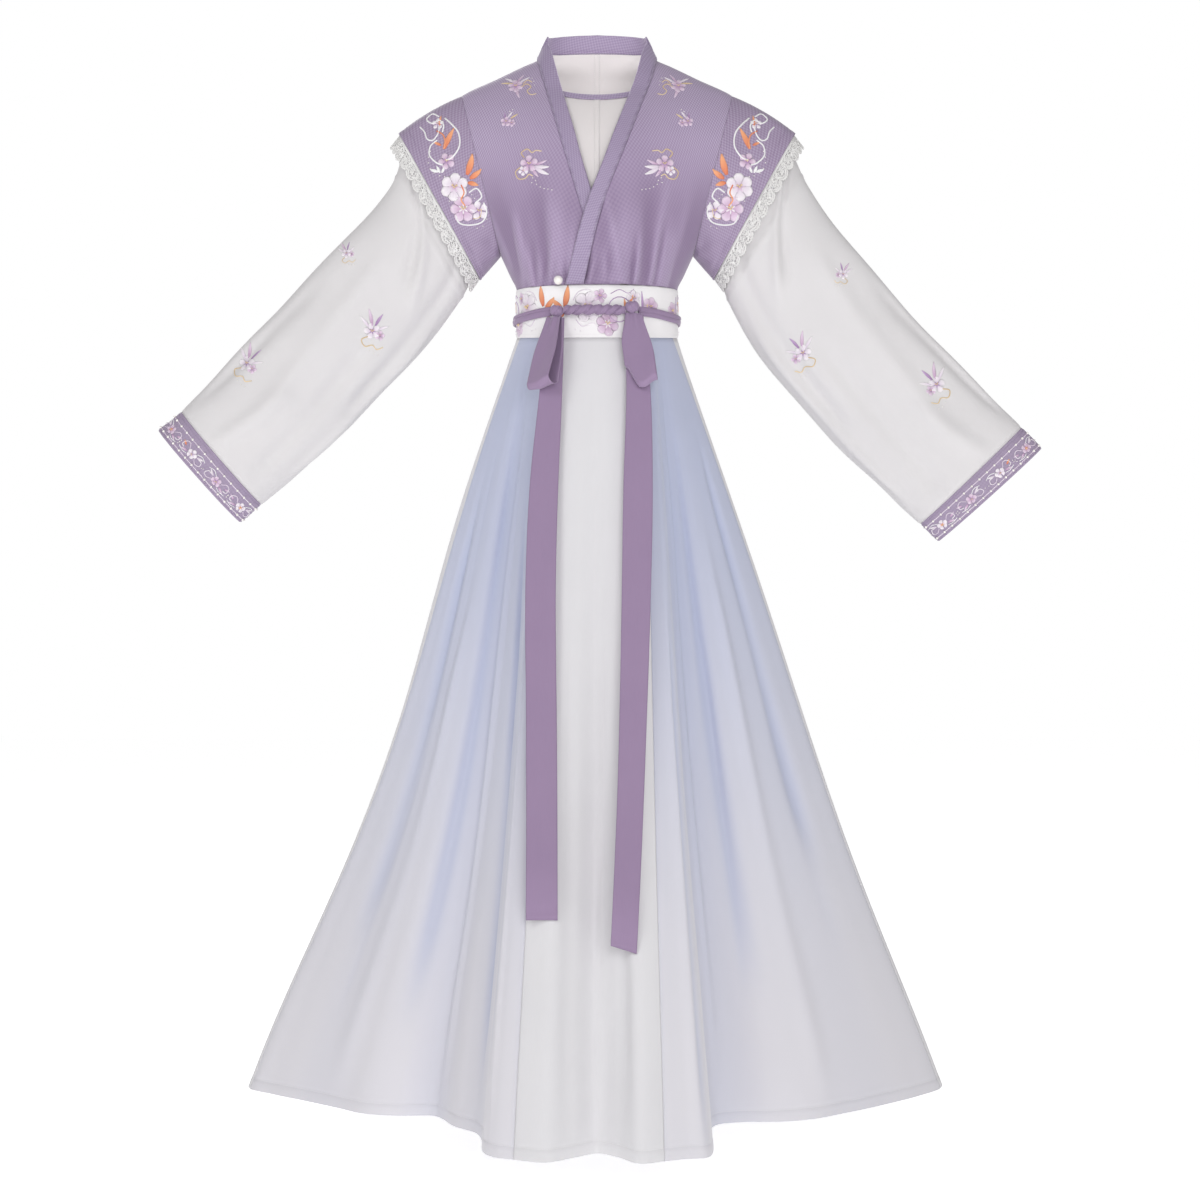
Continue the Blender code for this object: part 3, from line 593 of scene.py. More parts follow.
def skirt_panel(name, first, last, steps, material, strength):
    """A panel between two fold rows, with so many steps a row, and its creases made stronger."""
    u, t = grid(np.linspace(first, last, (last - first) * steps + 1), skirt_shares())
    points = skirt_surface(u, t)
    rng = np.random.default_rng(abs(first) + 7)
    height = strength * soft_creases(u, t, SKIRT_CREASES) * ease(t / 0.1)
    for _ in range(int((last - first) * 1.2)):
        at = rng.uniform(first + 0.3, last - 0.3)
        start = rng.uniform(0, 0.5)
        low_end = (at + rng.normal(0, 0.3), start + rng.uniform(0.2, 0.5))
        crease = (at, start, *low_end, rng.uniform(0.12, 0.3), rng.normal(0, 0.9))
        height += soft_creases(u, t, (crease,))
    for edge in (first, last):
        height -= 0.9 * bell(np.abs(u - edge) * 26 * (0.3 + t) / 5)
    height += 0.45 * ease((t - (1 - (HEM_TURN + 0.4) / 1000)) * 1500)
    height -= 0.5 * bell((1 - t) * 1000 - HEM_TURN + 0.4)
    skirt_grids[name] = lifted(points, False, -height)
    panel = shell(name, skirt_grids[name], -1, SKIRT_CLOTH, material)
    # Painted shade: how deep each point lies in the folds, kept for the dyed panels' darker blue there
    radius = skirt_row(u)[..., 2]
    ends = [skirt_row(u + away)[..., 2] for away in (-1.6, 1.6)]
    fold_shade = np.clip((np.mean(ends, axis=0) - radius) / 60, 0, 1) * ease(t / 0.3) * (1 - 0.5 * t)
    fold_shade = np.clip(fold_shade + np.clip(-height, 0, 5) * 0.17, 0, 1).ravel()
    mark_points(panel, "fold_shade", np.tile(fold_shade, 2))
    dress(panel)
    return panel


skirt_front = skirt_panel("dressed_skirt_front", FRONT_SEAMS[1], FRONT_SEAMS[0], 13, white_voile, 1.0)
skirt_left = skirt_panel("dressed_skirt_blue_left", FRONT_SEAMS[0], SIDE_SEAMS[0], 10, dip_dye, 2.1)
skirt_right = skirt_panel("dressed_skirt_blue_right", SIDE_SEAMS[1], FRONT_SEAMS[1], 10, dip_dye, 2.1)
skirt_back = skirt_panel("dressed_skirt_back", SIDE_SEAMS[0], FOLD_ROWS + SIDE_SEAMS[1], 8, white_voile, 1.5)

# Waistband. A stiffened band of white cotton, sewn between the jacket and the skirt, a little lower in front
# than at the sides. It carries the embroidery that comes later in this file.
WAISTBAND = (108, 93.5, 86.5)
WAIST_DROP = 300
WAIST_TILT = 0.035
WAISTBAND_CLOTH = 2.2
BAND_SHARES = [0.002, 0.012, 0.03, 0.06, 0.1, *np.linspace(0.14, 0.86, 22), 0.9, 0.94, 0.97, 0.988, 0.998]


def waistband_surface(angle, t):
    """Points at an angle in degrees round the waistband, t of the way down it."""
    x, y = oval(angle, *WAISTBAND)
    top = WAIST_DROP - WAIST_TILT * y
    low = SKIRT_DROP - SKIRT_TILT * y
    return joined(x, y, -(top + (low - top) * t))


def waistband_y(x):
    """y of the waistband's front at x."""
    half_width, front, _ = WAISTBAND
    return -front * np.sqrt(1 - (x / half_width) ** 2)


angle, t = grid(np.arange(240) * 1.5, BAND_SHARES)
band_points = waistband_surface(angle, t)
ripple = 0.35 * np.sin(np.radians(angle) * 7 + 3 * t) * np.sin(math.pi * t)
ripple += 0.25 * np.sin(np.radians(angle) * 17)
ripple -= 0.8 * bell(np.minimum(t, 1 - t) / 0.02)
ripple -= 0.35 * bell((np.minimum(t, 1 - t) - 0.06) / 0.012)
band_points = lifted(band_points, True, -ripple)
waistband_cotton = cloth(
    "waistband_cotton", (0.88, 0.86, 0.87), (0.80, 0.78, 0.79), 0.75, 0.1, thread=0.0008, bump=0.4
)
waistband = shell("dressed_waistband", band_points, -1, WAISTBAND_CLOTH, waistband_cotton, ring=True)
dress(waistband)

# Belt. One long ribbon of soft crepe, tied over the waistband. It lies folded flat round the back and is
# twisted in front between two knots, which have a bow loop and a long tail each.
BELT_HEIGHT = 12.5
BELT_DROP = 341
BELT_PLY = 2.6
# Degrees from the front between which the band runs round the back
BELT_ENDS = (29.2, 327.8)
TWIST_X = (-44, 37)
TWIST_TURNS = 3.1
TWIST_DROP = 337
# Knot: x, drop, half width, half height, half depth
KNOTS = {"right": (-52, 338, 8.5, 8, 7.5), "left": (45.5, 333, 9, 8, 7.5)}
# Loop: x, y and z of its top, then of its bottom, turn of its width in degrees, widths at both, opening
LOOPS = {
    "right": ((-54, -98, -344.5), (-73, -133, -442), -40, 24, 39, 13),
    "left": ((47, -96, -339.6), (59, -131, -440), -8, 22, 40, 9),
}
# Tail: station down its length, x of its middle, width
TAILS = {
    "right": (
        (346.4, -54, 24), (440, -59, 29), (560, -66, 36), (680, -69, 38), (850, -68, 38), (1096, -67, 38)
    ),
    "left": ((341.4, 48, 24), (440, 53, 31), (560, 53, 37), (720, 50, 36), (900, 43, 33), (1124, 31, 31)),
}
TAIL_SLANT = {"right": 0, "left": 10}
# How much lower the skirt starts in front than at the sides
FRONT_DIP = 9
# How far the tails hang in front of the plain folds and of the creased cloth, and how many rows they bridge
TAIL_CLEAR = 3.8
CREASE_CLEAR = 2.4
TAIL_WINDOW = 13
BELT_CLOTH = 0.9
crepe = cloth("belt_crepe", (0.325, 0.233, 0.362), (0.26, 0.184, 0.302), 0.72, 0.3, thread=0.0005, bump=0.2)


def belt_surface(angle, t):
    """Points at an angle in degrees round the band of the belt, t of the way down it."""
    half_width, front, back = WAISTBAND
    out = BELT_PLY + 0.6
    x, y = oval(angle, half_width + out, front + out, back + out)
    turned = (angle + 180) % 360 - 180
    near = ease((np.abs(turned) - 30) / 40)
    middle = TWIST_DROP + (BELT_DROP - TWIST_DROP) * near
    return joined(x, y, -(middle + BELT_HEIGHT * (t - 0.5)))


angle, t = grid(np.linspace(*BELT_ENDS, 170), np.linspace(0, 1, 17))
belt_points = belt_surface(angle, t)
folds = 0.9 * np.sin(math.pi * t) - 1.1 * bell((t - 0.42 - 0.1 * np.sin(np.radians(angle) * 2)) / 0.07)
folds += 0.4 * np.sin(np.radians(angle) * 9 + 4 * t)
folds -= 1.2 * ease((np.abs(t - 0.5) - 0.42) / 0.08)
belt_points = lifted(belt_points, False, -folds)
belt_band = shell("dressed_belt_band", belt_points, -1, BELT_PLY, crepe)
dress(belt_band)


def tube_grid(rings):
    """The faces of a solid that is a stack of rings, with its ends capped."""
    count, around = rings.shape[:2]
    faces = []
    for r in range(count - 1):
        for k in range(around):
            a, b = r * around + k, r * around + (k + 1) % around
            faces.append([a, b, b + around, a + around])
    faces.append(list(range(around))[::-1])
    faces.append(list(range((count - 1) * around, count * around)))
    return faces


def sized_uvs(faces, points):
    """Plain flat positions in metres for the faces of a small solid, as seen from the front."""
    spots = [corner for face in faces for corner in face]
    return np.asarray(points)[spots][:, [0, 2]] * MM


def solid_piece(name, rings, material):
    """A small solid from a stack of rings, with its faces turned outwards."""
    faces = tube_grid(rings)
    points = rings.reshape(-1, 3)
    volume = 0.0
    for face in faces:
        for n in range(1, len(face) - 1):
            volume += np.dot(points[face[0]], np.cross(points[face[n]], points[face[n + 1]]))
    if volume < 0:
        faces = [face[::-1] for face in faces]
    return linked_mesh(name, points, faces, sized_uvs(faces, points), [material])


def seen_from_front(*pieces):
    """A surface for marks given by (x, z): where a line from straight in front first meets the pieces."""
    trees = []
    for mesh in (piece.data for piece in pieces):
        trees.append(BVHTree.FromPolygons([v.co for v in mesh.vertices], [f.vertices for f in mesh.polygons]))

    def surface(places):
        points, normals = [], []
        for x, z in places:
            hits = [tree.ray_cast(Vector((x * MM, -1, z * MM)), Vector((0, 1, 0))) for tree in trees]
            met = [hit for hit in hits if hit[0]]
            if not met:
                met = [tree.find_nearest(Vector((x * MM, -0.1, z * MM))) for tree in trees]
            best = min(met, key=lambda hit: hit[0].y)
            points.append(best[0] / MM)
            normals.append(best[1] if best[1].y < 0 else -best[1])
        return np.array(points), np.array(normals)

    return surface


def build_twist():
    """Two plies wound round each other, each with its own small creases."""
    steps, around = 130, 40
    share = np.linspace(0, 1, steps)[:, None]
    theta = np.linspace(0, 2 * math.pi, around, endpoint=False)[None, :]
    x = TWIST_X[0] + (TWIST_X[1] - TWIST_X[0]) * share
    wind = 2 * math.pi * TWIST_TURNS * share + 0.35 * np.sin(9 * share)
    size = 5.0 + 1.9 * np.abs(np.cos(theta - wind)) ** 1.4
    size -= 1.0 * bell(np.sin(theta - wind + math.pi / 2) / 0.2)
    size += 0.35 * np.sin(5 * (theta - wind) + 11 * share) + 0.2 * np.sin(9 * (theta - wind) - 25 * share)
    size *= 1 - 0.25 * ease((np.abs(share - 0.5) - 0.42) / 0.08)
    y = waistband_y(x) - 8.1
    rings = joined(x + 0 * theta, y - size * np.cos(theta), -TWIST_DROP + size * np.sin(theta))
    return solid_piece("dressed_belt_twist", rings, crepe)


def build_knot(side):
    """A plump wrapped knot: a rounded pad with the belt's folds running over it."""
    x, drop, half_width, half_height, half_depth = KNOTS[side]
    y = waistband_y(abs(x) - half_width) - half_depth - 0.5
    lean = 1 if side == "right" else -1
    along = np.sin(np.linspace(-math.pi / 2, math.pi / 2, 40) * 0.985)[:, None]
    theta = np.linspace(0, 2 * math.pi, 44, endpoint=False)[None, :]
    size = (1 - np.abs(along) ** 2.6) ** (1 / 2.2) * np.ones_like(theta)
    lobes = 1 + 0.07 * np.sin(3 * theta + 4 * along * lean)
    size *= lobes - 0.16 * bell((along * lean - 0.5 * np.sin(theta)) / 0.13)
    size *= 1 - 0.1 * bell((along * lean + 0.45 - 0.4 * np.sin(theta + 0.8)) / 0.1)
    rings = joined(
        x + half_width * along + 0 * theta,
        y - half_depth * size * np.cos(theta),
        -drop + half_height * size * np.sin(theta),
    )
    return solid_piece(f"dressed_belt_knot_{side}", rings, crepe)


def loop_surface(side, u, v):
    """A bow loop: a strip that goes down in front and comes up behind. u runs along it and v across."""
    top, bottom, turn, top_width, low_width, opening = LOOPS[side]
    top, bottom = np.array(top, dtype=float), np.array(bottom, dtype=float)
    across = np.array([math.cos(math.radians(turn)), math.sin(math.radians(turn)), 0])
    down = bottom - top
    front = unit(np.cross(down, across))
    front = -front if front[1] > 0 else front
    angle = np.radians(u)
    share = (1 - np.cos(angle)) / 2
    away = 1.4 + opening / 2 * np.abs(np.sin(angle / 2)) ** 1.5
    away = away * np.clip(np.sin(angle) * 2.2, -1, 1)
    width = top_width + (low_width - top_width) * ease(share * 1.6)
    if side == "left":
        reach = 1 - 0.28 * ease((0.42 - v) / 0.42) - 0.1 * ease((v - 0.5) / 0.5)
        away = away * (0.55 + 0.9 * v)
    else:
        reach = 1 - 0.07 * ease((v - 0.4) / 0.6)
        away = away * (0.8 + 0.55 * v)
    pinch = bell(share / 0.22)
    away = away + 1.3 * pinch * np.sin(v * 13 + (0 if side == "left" else 1))
    away = away + 0.8 * np.sin(5 * share + 4 * v)
    spot = share[..., None] * reach[..., None] * down + away[..., None] * front
    return top + spot + (width * (v - 0.5))[..., None] * across


skirt_front_seen = seen_from_front(skirt_front, skirt_left, skirt_right, waistband)


def tail_depth(x, drop, t):
    """y of a tail that clears the skirt's folds, and also the creases of its cloth."""
    fold_u, fold_t = grid(np.linspace(-5, 5, 81), t[0])
    share = (drop[0] - SKIRT_DROP - FRONT_DIP) / (HEM_DROP - SKIRT_DROP - FRONT_DIP)
    skirt_points = skirt_surface(fold_u, np.clip(share, 0, 1)[None, :] + 0 * fold_t)
    y = np.empty_like(x)
    for j in range(t.shape[1]):
        order = skirt_points[:, j, 0].argsort()
        depth = np.interp(x[:, j], skirt_points[order, j, 0], skirt_points[order, j, 1])
        y[:, j] = min(depth.min(), 0) - TAIL_CLEAR
    places = joined(x, -drop).reshape(-1, 2)
    cloth_y = skirt_front_seen(places)[0][:, 1].reshape(x.shape).min(axis=0) - CREASE_CLEAR
    padded = np.pad(cloth_y, TAIL_WINDOW - 1, mode="edge")
    foremost = np.min([padded[n : len(padded) - TAIL_WINDOW + 1 + n] for n in range(TAIL_WINDOW)], axis=0)
    return np.minimum(y, np.convolve(foremost, np.full(TAIL_WINDOW, 1 / TAIL_WINDOW), mode="valid"))


for side in ("right", "left"):
    knot = build_knot(side)
    u, v = grid(np.linspace(16, 344, 110), np.linspace(0, 1, 22))
    loop = shell(f"dressed_belt_loop_{side}", loop_surface(side, u, v), 1, BELT_CLOTH, crepe)
    rows = curve(TAILS[side])
    first, last = TAILS[side][0][0], TAILS[side][-1][0]
    v, t = grid(np.linspace(0, 1, 17), np.linspace(0, 1, 140))
    drop = first + (last - first) * t
    middle, width = rows(drop)[..., 0], rows(drop)[..., 1]
    x = middle + width * (v - 0.5) + 1.2 * np.sin(6 * t + 2) * ease(t * 4)
    drop = drop + TAIL_SLANT[side] * v * t
    y = tail_depth(x, drop, t)
    sway = 1.1 * np.sin(9 * t + 3 * v) * ease(t * 5)
    y -= sway + 1.5 * np.abs(v - 0.5) * np.sin(14 * t + 1) * ease(t * 3)
    y += 0.9 * bell((t - 0.985) / 0.004)
    tail = shell(f"dressed_belt_tail_{side}", joined(x, y, -drop), -1, BELT_CLOTH, crepe)
    for piece in (knot, loop, tail):
        dress(piece)
    length = (last - first) * MM
dress(build_twist())

# Inner shirt. Plain white voile, sewn in with the jacket at the shoulders, sides and waist. It has a felled
# seam down its back and a narrow lilac binding round its front neckline, and only shows in the open neck.

# The torso's plan at each drop: half width, depth of the front, depth of the back
TORSO = (
    (-42, 84, 8, 55),
    (-31, 84, 8, 62),
    (-8, 78, 14, 74),
    (2, 99, 30, 79),
    (20, 136, 45, 83),
    (41, 180, 58, 87),
    (62, 197, 74, 90),
    (97, 203, 94, 93),
    (129, 195, 106, 94),
    (184, 167, 118, 91),
    (215, 150, 121, 87),
    (254, 128, 116, 81),
    (282, 115, 102, 82),
    (297, 107.5, 94, 85),
    (310, 106.5, 92, 85),
)
NECK_DROP = -8
NECK_HALF = 78
SHOULDER = (180, 41)
ARMPIT = (128, 254)
ARMPIT_SHARE = 0.82
SHIRT_INSETS = {"front": 5.2, "back": 3.6, "seam": 2.6}
SHIRT_CLOTH = 0.7
NECKLINE_HALF = 95
NECKLINE_DROP = 48.6
BINDING_WIDTH = 7.5
# The collar band from the middle of the back (0) over the shoulder (4) down to the waist (12), for each side:
# the seam's x and drop, then how far the free edge lies from it inwards, back and up
UNDER_COLLAR = (
    (0, 0, -31, 0, -7, 23),
    (1, 30, -29.2, -2, -6.5, 23),
    (2, 55, -24.3, -5, -5, 24),
    (3, 71, -17.5, -9, -3, 24),
    (4, 78, -8, -13, 0, 23),
    (5, 76, 6, -17, 4, 17),
    (6, 70, 32, -20, 0, 6),
    (7, 62, 62, -22, 0, -2),
    (8, 52, 97, -23, 0, -7),
    (9, 43, 129, -23, 0, -11),
    (10, 27, 184, -23, 0, -11),
    (11, 11, 238, -23, 0, -10),
    (12, -7, 303, -23, 0, 0),
)
OVER_COLLAR = UNDER_COLLAR[:7] + (
    (7, 60, 60, -23, 0, -4),
    (8, 48, 94, -25, 0, -9),
    (9, 33, 135, -25, 0, -11),
    (10, 14.5, 184, -25, 0, -11),
    (11, 0, 232, -24, 0, -8),
    (12, -17, 303, -24, 0, 0),
)

torso_level = curve(TORSO)
collar_rows = {"right": curve(UNDER_COLLAR), "left": curve(OVER_COLLAR)}
SIGN = {"right": -1, "left": 1}


def on_torso(x, drop, facing, raised=0.0):
    """Points of the torso's surface. facing is -1 for the front and 1 for the back."""
    level = torso_level(drop)
    share = np.minimum(np.abs(x) / level[..., 0], 1.0)
    depth = level[..., 1 if facing < 0 else 2] + raised
    return joined(x, facing * depth * np.sqrt(1 - share * share), -drop + 0 * x)


def sided(points, side):
    """Points made for the wearer's left, moved to the side named."""
    points = points.copy()
    points[..., 0] *= SIGN[side]
    return points


def waist_drop(x, facing):
    """The drop of the waist seam at x."""
    share = np.minimum(np.abs(x) / torso_level(WAIST_DROP)[0], 1.0)
    depth = -WAISTBAND[1] if facing < 0 else WAISTBAND[2]
    return WAIST_DROP - WAIST_TILT * depth * np.sqrt(1 - share * share)


def armhole_line(t):
    """x and drop down the armhole seam, then down the side seam."""
    f = (1 - np.cos(math.pi * np.minimum(t / ARMPIT_SHARE, 1))) / 2
    below = np.maximum(t - ARMPIT_SHARE, 0) / (1 - ARMPIT_SHARE)
    drop = SHOULDER[1] + (ARMPIT[1] - SHOULDER[1]) * f + (WAIST_DROP - ARMPIT[1]) * below
    x = np.where(t < ARMPIT_SHARE, SHOULDER[0] + (ARMPIT[0] - SHOULDER[0]) * f, torso_level(drop)[..., 0])
    return x, drop


shoulder_drops = np.linspace(NECK_DROP, SHOULDER[1], 200)
shoulder_halves = torso_level(shoulder_drops)[:, 0]
nape_stations = np.linspace(0, 4, 200)
nape_rows = collar_rows["right"](nape_stations)


def back_top(x):
    """The drop of the back's top edge at x: along the collar's seam, then along the shoulder seam."""
    nape = np.interp(x, nape_rows[:, 0], nape_rows[:, 1])
    return np.where(x < NECK_HALF, nape, np.interp(x, shoulder_halves, shoulder_drops))


def neckline_drop(x):
    """The drop of the inner shirt's front neckline at x; beyond its end, of the shoulder seam."""
    share = np.minimum(x / NECKLINE_HALF, 1)
    end = np.interp(NECKLINE_HALF, shoulder_halves, shoulder_drops)
    scoop = end + NECKLINE_DROP * np.sqrt(1 - share * share)
    return np.where(x >= NECKLINE_HALF, np.interp(x, shoulder_halves, shoulder_drops), scoop)


def whole_plan(s, t, top_drop, facing):
    """x and drop of a panel from side to side (s from -1 to 1) under a top edge given by its drop at s."""
    outer_x, outer_drop = armhole_line(t)
    progress = (outer_drop - SHOULDER[1]) / (WAIST_DROP - SHOULDER[1])
    round_share = ease((t - 0.25) / 0.5)
    across = np.abs(s) * (1 - round_share) + np.sin(math.pi * np.abs(s) / 2) * round_share
    x = outer_x * across
    x = np.where((t == 0) & (x > NECK_HALF), np.minimum(x, torso_level(top_drop)[..., 0]), x)
    drop = top_drop + (WAIST_DROP - top_drop) * progress
    return np.copysign(x, s), drop + (waist_drop(x, facing) - WAIST_DROP) * ease(2 * t - 1)


def sunk(points, outwards, depth):
    """A grid of points moved inwards."""
    return lifted(points, False, -outwards * depth)


def shirt_depth(s, deepest):
    """How far the shirt lies inside the jacket: least at its seams."""
    seam = SHIRT_INSETS["seam"]
    return seam + (SHIRT_INSETS[deepest] - seam) * ease((0.85 - np.abs(s)) / 0.3)


shirt_voile = cloth("shirt_voile", (0.76, 0.72, 0.72), (0.68, 0.64, 0.64), 0.8, 0.15)
beside_seam = [-0.022, -0.016, -0.011, 0, 0.011, 0.016, 0.022]
s, t = grid([*np.linspace(-1, -0.03, 36), *beside_seam, *np.linspace(0.03, 1, 36)], np.linspace(0, 1, 60))
x, drop = whole_plan(s, t, back_top(SHOULDER[0] * np.abs(s)), 1)
felled = 1.3 * ease((0.02 - np.abs(s)) / 0.006) - 0.6 * bell(s / 0.006)
shirt_points = sunk(on_torso(x, drop, 1), 1, shirt_depth(s, "back") + felled)
shirt_back = shell("dressed_shirt_back", shirt_points, 1, SHIRT_CLOTH, shirt_voile)
x, drop = whole_plan(s, t, neckline_drop(SHOULDER[0] * np.abs(s)), -1)
shirt_front_points = sunk(on_torso(x, drop, -1), -1, shirt_depth(s, "front") - felled)
shirt_front = shell("dressed_shirt_front", shirt_front_points, -1, SHIRT_CLOTH, shirt_voile)

# Jacket. Two crossed fronts and a back in a fine lilac jacquard with a small slanting check, gathered softly
# into the waist seam. The wearer's left front lies over the right one.
OVERLAP_LIFT = 5
# Soft gathers that run up from the waist seam: x at the waist, drop where each dies out, lean, height
RIGHT_GATHERS = ((34, 205, -0.05, 3.5), (52, 150, 0.1, 4.5), (70, 190, 0.16, 4), (87, 200, 0.25, 3.5))
LEFT_GATHERS = (
    (14, 200, -0.3, 3), (33, 150, -0.2, 4.5), (52, 180, 0.05, 3.5), (70, 140, 0.18, 5), (88, 200, 0.25, 3)
)
BACK_GATHERS = ((10, 190, 0.05, 3.5), (31, 150, 0.08, 4), (53, 185, 0.12, 3.5), (74, 165, 0.2, 4))
GATHERS = {"right": RIGHT_GATHERS, "left": LEFT_GATHERS, "back": BACK_GATHERS}
GATHER_WIDTH = 7
# Sharper tucks between the gathers: x and drop at the waist, x and drop where each dies out, width, height
TUCKS = {
    "right": (
        (41, 300, 40, 268, 1.8, -2.2),
        (46, 300, 45, 262, 2.6, 1.8),
        (57, 300, 51, 232, 2.0, -2.6),
        (62, 300, 58, 240, 3.0, 2.0),
        (70, 298, 65, 258, 1.8, -2.0),
        (80, 296, 84, 236, 2.4, -2.4),
        (92, 294, 101, 214, 3.0, -2.2),
        (97, 290, 108, 196, 4.0, 2.4),
        (108, 270, 116, 186, 3.5, -2.0),
        (88, 292, 128, 170, 7, 3.2),
        (100, 288, 142, 150, 6, -3.6),
        (66, 298, 84, 140, 8, -2.4),
        (50, 299, 54, 120, 9, 1.8),
        (112, 268, 150, 190, 5, 2.6),
    ),
    "left": (
        (-15, 300, -6, 262, 2.2, -3.0),
        (-9, 300, 2, 250, 3.2, 2.2),
        (14, 301, 19, 240, 2.6, -1.8),
        (44, 300, 54, 226, 2.2, -3.0),
        (50, 300, 60, 230, 3.0, 2.2),
        (75, 297, 91, 212, 2.4, -3.4),
        (83, 296, 98, 206, 3.6, 2.6),
        (64, 299, 73, 236, 2.4, -2.0),
        (98, 288, 112, 196, 3.2, -2.0),
        (92, 292, 130, 166, 7, 3.4),
        (103, 286, 146, 152, 6, -3.6),
        (58, 298, 80, 132, 8, -2.6),
        (30, 300, 46, 140, 9, 1.6),
        (-6, 300, 18, 190, 6, -1.6),
    ),
    "back": (
        (4, 299, 3, 232, 2.2, -2.4),
        (18, 299, 22, 248, 2.2, -2.2),
        (24, 299, 29, 214, 3.0, 2.0),
        (42, 298, 49, 226, 2.4, -2.6),
        (60, 297, 71, 238, 2.4, -2.2),
        (66, 297, 79, 206, 3.4, 2.2),
        (82, 295, 95, 216, 2.8, -2.2),
        (36, 298, 48, 120, 9, 2.4),
        (72, 296, 100, 140, 8, -3.0),
        (90, 294, 126, 170, 7, 3.0),
        (14, 299, 14, 130, 10, -1.8),
    ),
}
TUCK_DEPTH = 1.7
GATHER_RISE = 1.6
CHECK_SLANT = 33
CHECK_SQUARE = 0.0026
# Metres down the cloth between which the check grows faint, and the share that is left of it
CHECK_FADES = (0.10, 0.24)
LOW_CHECK = 0.35
CHECK_THREAD = (0.56, 0.49, 0.63)
# Painted shade: the darker lilac mixed into the hollows between the jacket's folds, and its greatest share
FOLD_SHADE_LILAC = (0.17, 0.11, 0.20)
HOLLOW_SHADE = 0.72
JACKET_CLOTH = 1.0


def gathered(x, drop, folds):
    """How far the gathers stand out at a point, all ridges and no hollows."""
    height = np.zeros_like(x)
    for at, start, lean, tall in folds:
        down = np.clip((drop - start) / (WAIST_DROP - start), 0, 2)
        rise = down**1.2 * (1 - 0.6 * ease((drop - 285) / 18))
        away = x - at - lean * (WAIST_DROP - drop)
        height += GATHER_RISE * tall * rise * bell(away / GATHER_WIDTH)
    return height


def tucked(x, drop, rows):
    """Sharper tucks that die out on their way up from the waist seam."""
    height = np.zeros_like(x)
    for x0, drop0, x1, drop1, width, tall in rows:
        share = (drop0 - drop) / (drop0 - drop1)
        away = (x - x0 - (x1 - x0) * share) / (width * (1 + 0.9 * np.clip(share, 0, 1.4)))
        ridge = TUCK_DEPTH * tall * ease((1.15 - share) / 0.9) * bell(away)
        height += ridge * (1 - 0.35 * ease((drop - 288) / 12))
    return height


def kept_out(raised, x):
    """Hollows no deeper than the room over the inner shirt, which is least at the sides."""
    room = 1.2 + 2.0 * ease((95 - np.abs(x)) / 30)
    return np.where(raised < 0, -room * np.tanh(-raised / room), raised)


def mark_fold_shade(piece, folds, drop):
    """Keeps for the material how deep each point lies between the folds, where the jacquard paints shade."""
    fold_shade = np.clip(0.5 - folds / 7, 0, 1) * ease((drop - 110) / 110)
    mark_points(piece, "fold_shade", np.tile(fold_shade.ravel(), 2))


def overlap_lift(x, drop):
    """The over front lies this far outside the under front, and level with it at its other seams."""
    return OVERLAP_LIFT * ease((95 - x) / 55) * ease((drop - 70) / 80)


def shoulder_line(s):
    """x and drop along the shoulder seam, from the neck to the armhole."""
    drop = NECK_DROP + (SHOULDER[1] - NECK_DROP) * s
    return torso_level(drop)[..., 0], drop


def front_plan(side, s, t):
    """x on its own side and drop of a front, from its collar seam (s = 0) to its outer edge (s = 1)."""
    rows = collar_rows[side]
    seam = rows(4 + 8 * t)
    outer_x, outer_drop = armhole_line(t)
    round_share = ease((t - 0.25) / 0.5)
    across = s * (1 - round_share) + np.sin(math.pi * s / 2) * round_share
    x = seam[..., 0] + (outer_x - seam[..., 0]) * across
    drop = seam[..., 1] + (outer_drop - seam[..., 1]) * s
    start = rows(4.0)
    line_x, line_drop = shoulder_line(s)
    fade = (1 - t) ** 3
    x = x + (line_x - start[0] * (1 - s) - SHOULDER[0] * s) * fade
    drop = drop + (line_drop - start[1] * (1 - s) - SHOULDER[1] * s) * fade
    level_end = rows(12.0)[1] * (1 - s) + WAIST_DROP * s
    return x, drop + (waist_drop(x, -1) - level_end) * ease(2 * t - 1)


def front_folds(side, x, drop, s):
    """Height of all folds of a front over its plain form."""
    folds = gathered(x, drop, GATHERS[side]) * ease((x + 5) / 25)
    folds += tucked(x, drop, TUCKS[side]) * ease((x - 28) / 16 if side == "right" else 1 + 0 * x)
    waves = 0.8 * np.sin(drop / 21 + x / 17) * np.sin(math.pi * s)
    folds += waves * ease((drop - 40) / 60) * ease((290 - drop) / 40)
    return kept_out(folds, x)


def jacket_front(side):
    """A front of the jacket, which falls in folds from shoulder and collar to the waist seam."""
    s, t = grid(np.linspace(0, 1, 90), np.linspace(0, 1, 108))
    x, drop = front_plan(side, s, t)
    folds = front_folds(side, x, drop, s)
    points = on_torso(x, drop, -1, folds + (overlap_lift(x, drop) if side == "left" else 0))
    points = sided(points, side)
    piece = shell(f"dressed_jacket_front_{side}", points, -SIGN[side], JACKET_CLOTH, lilac_jacquard)
    mark_fold_shade(piece, folds, drop)
    return piece


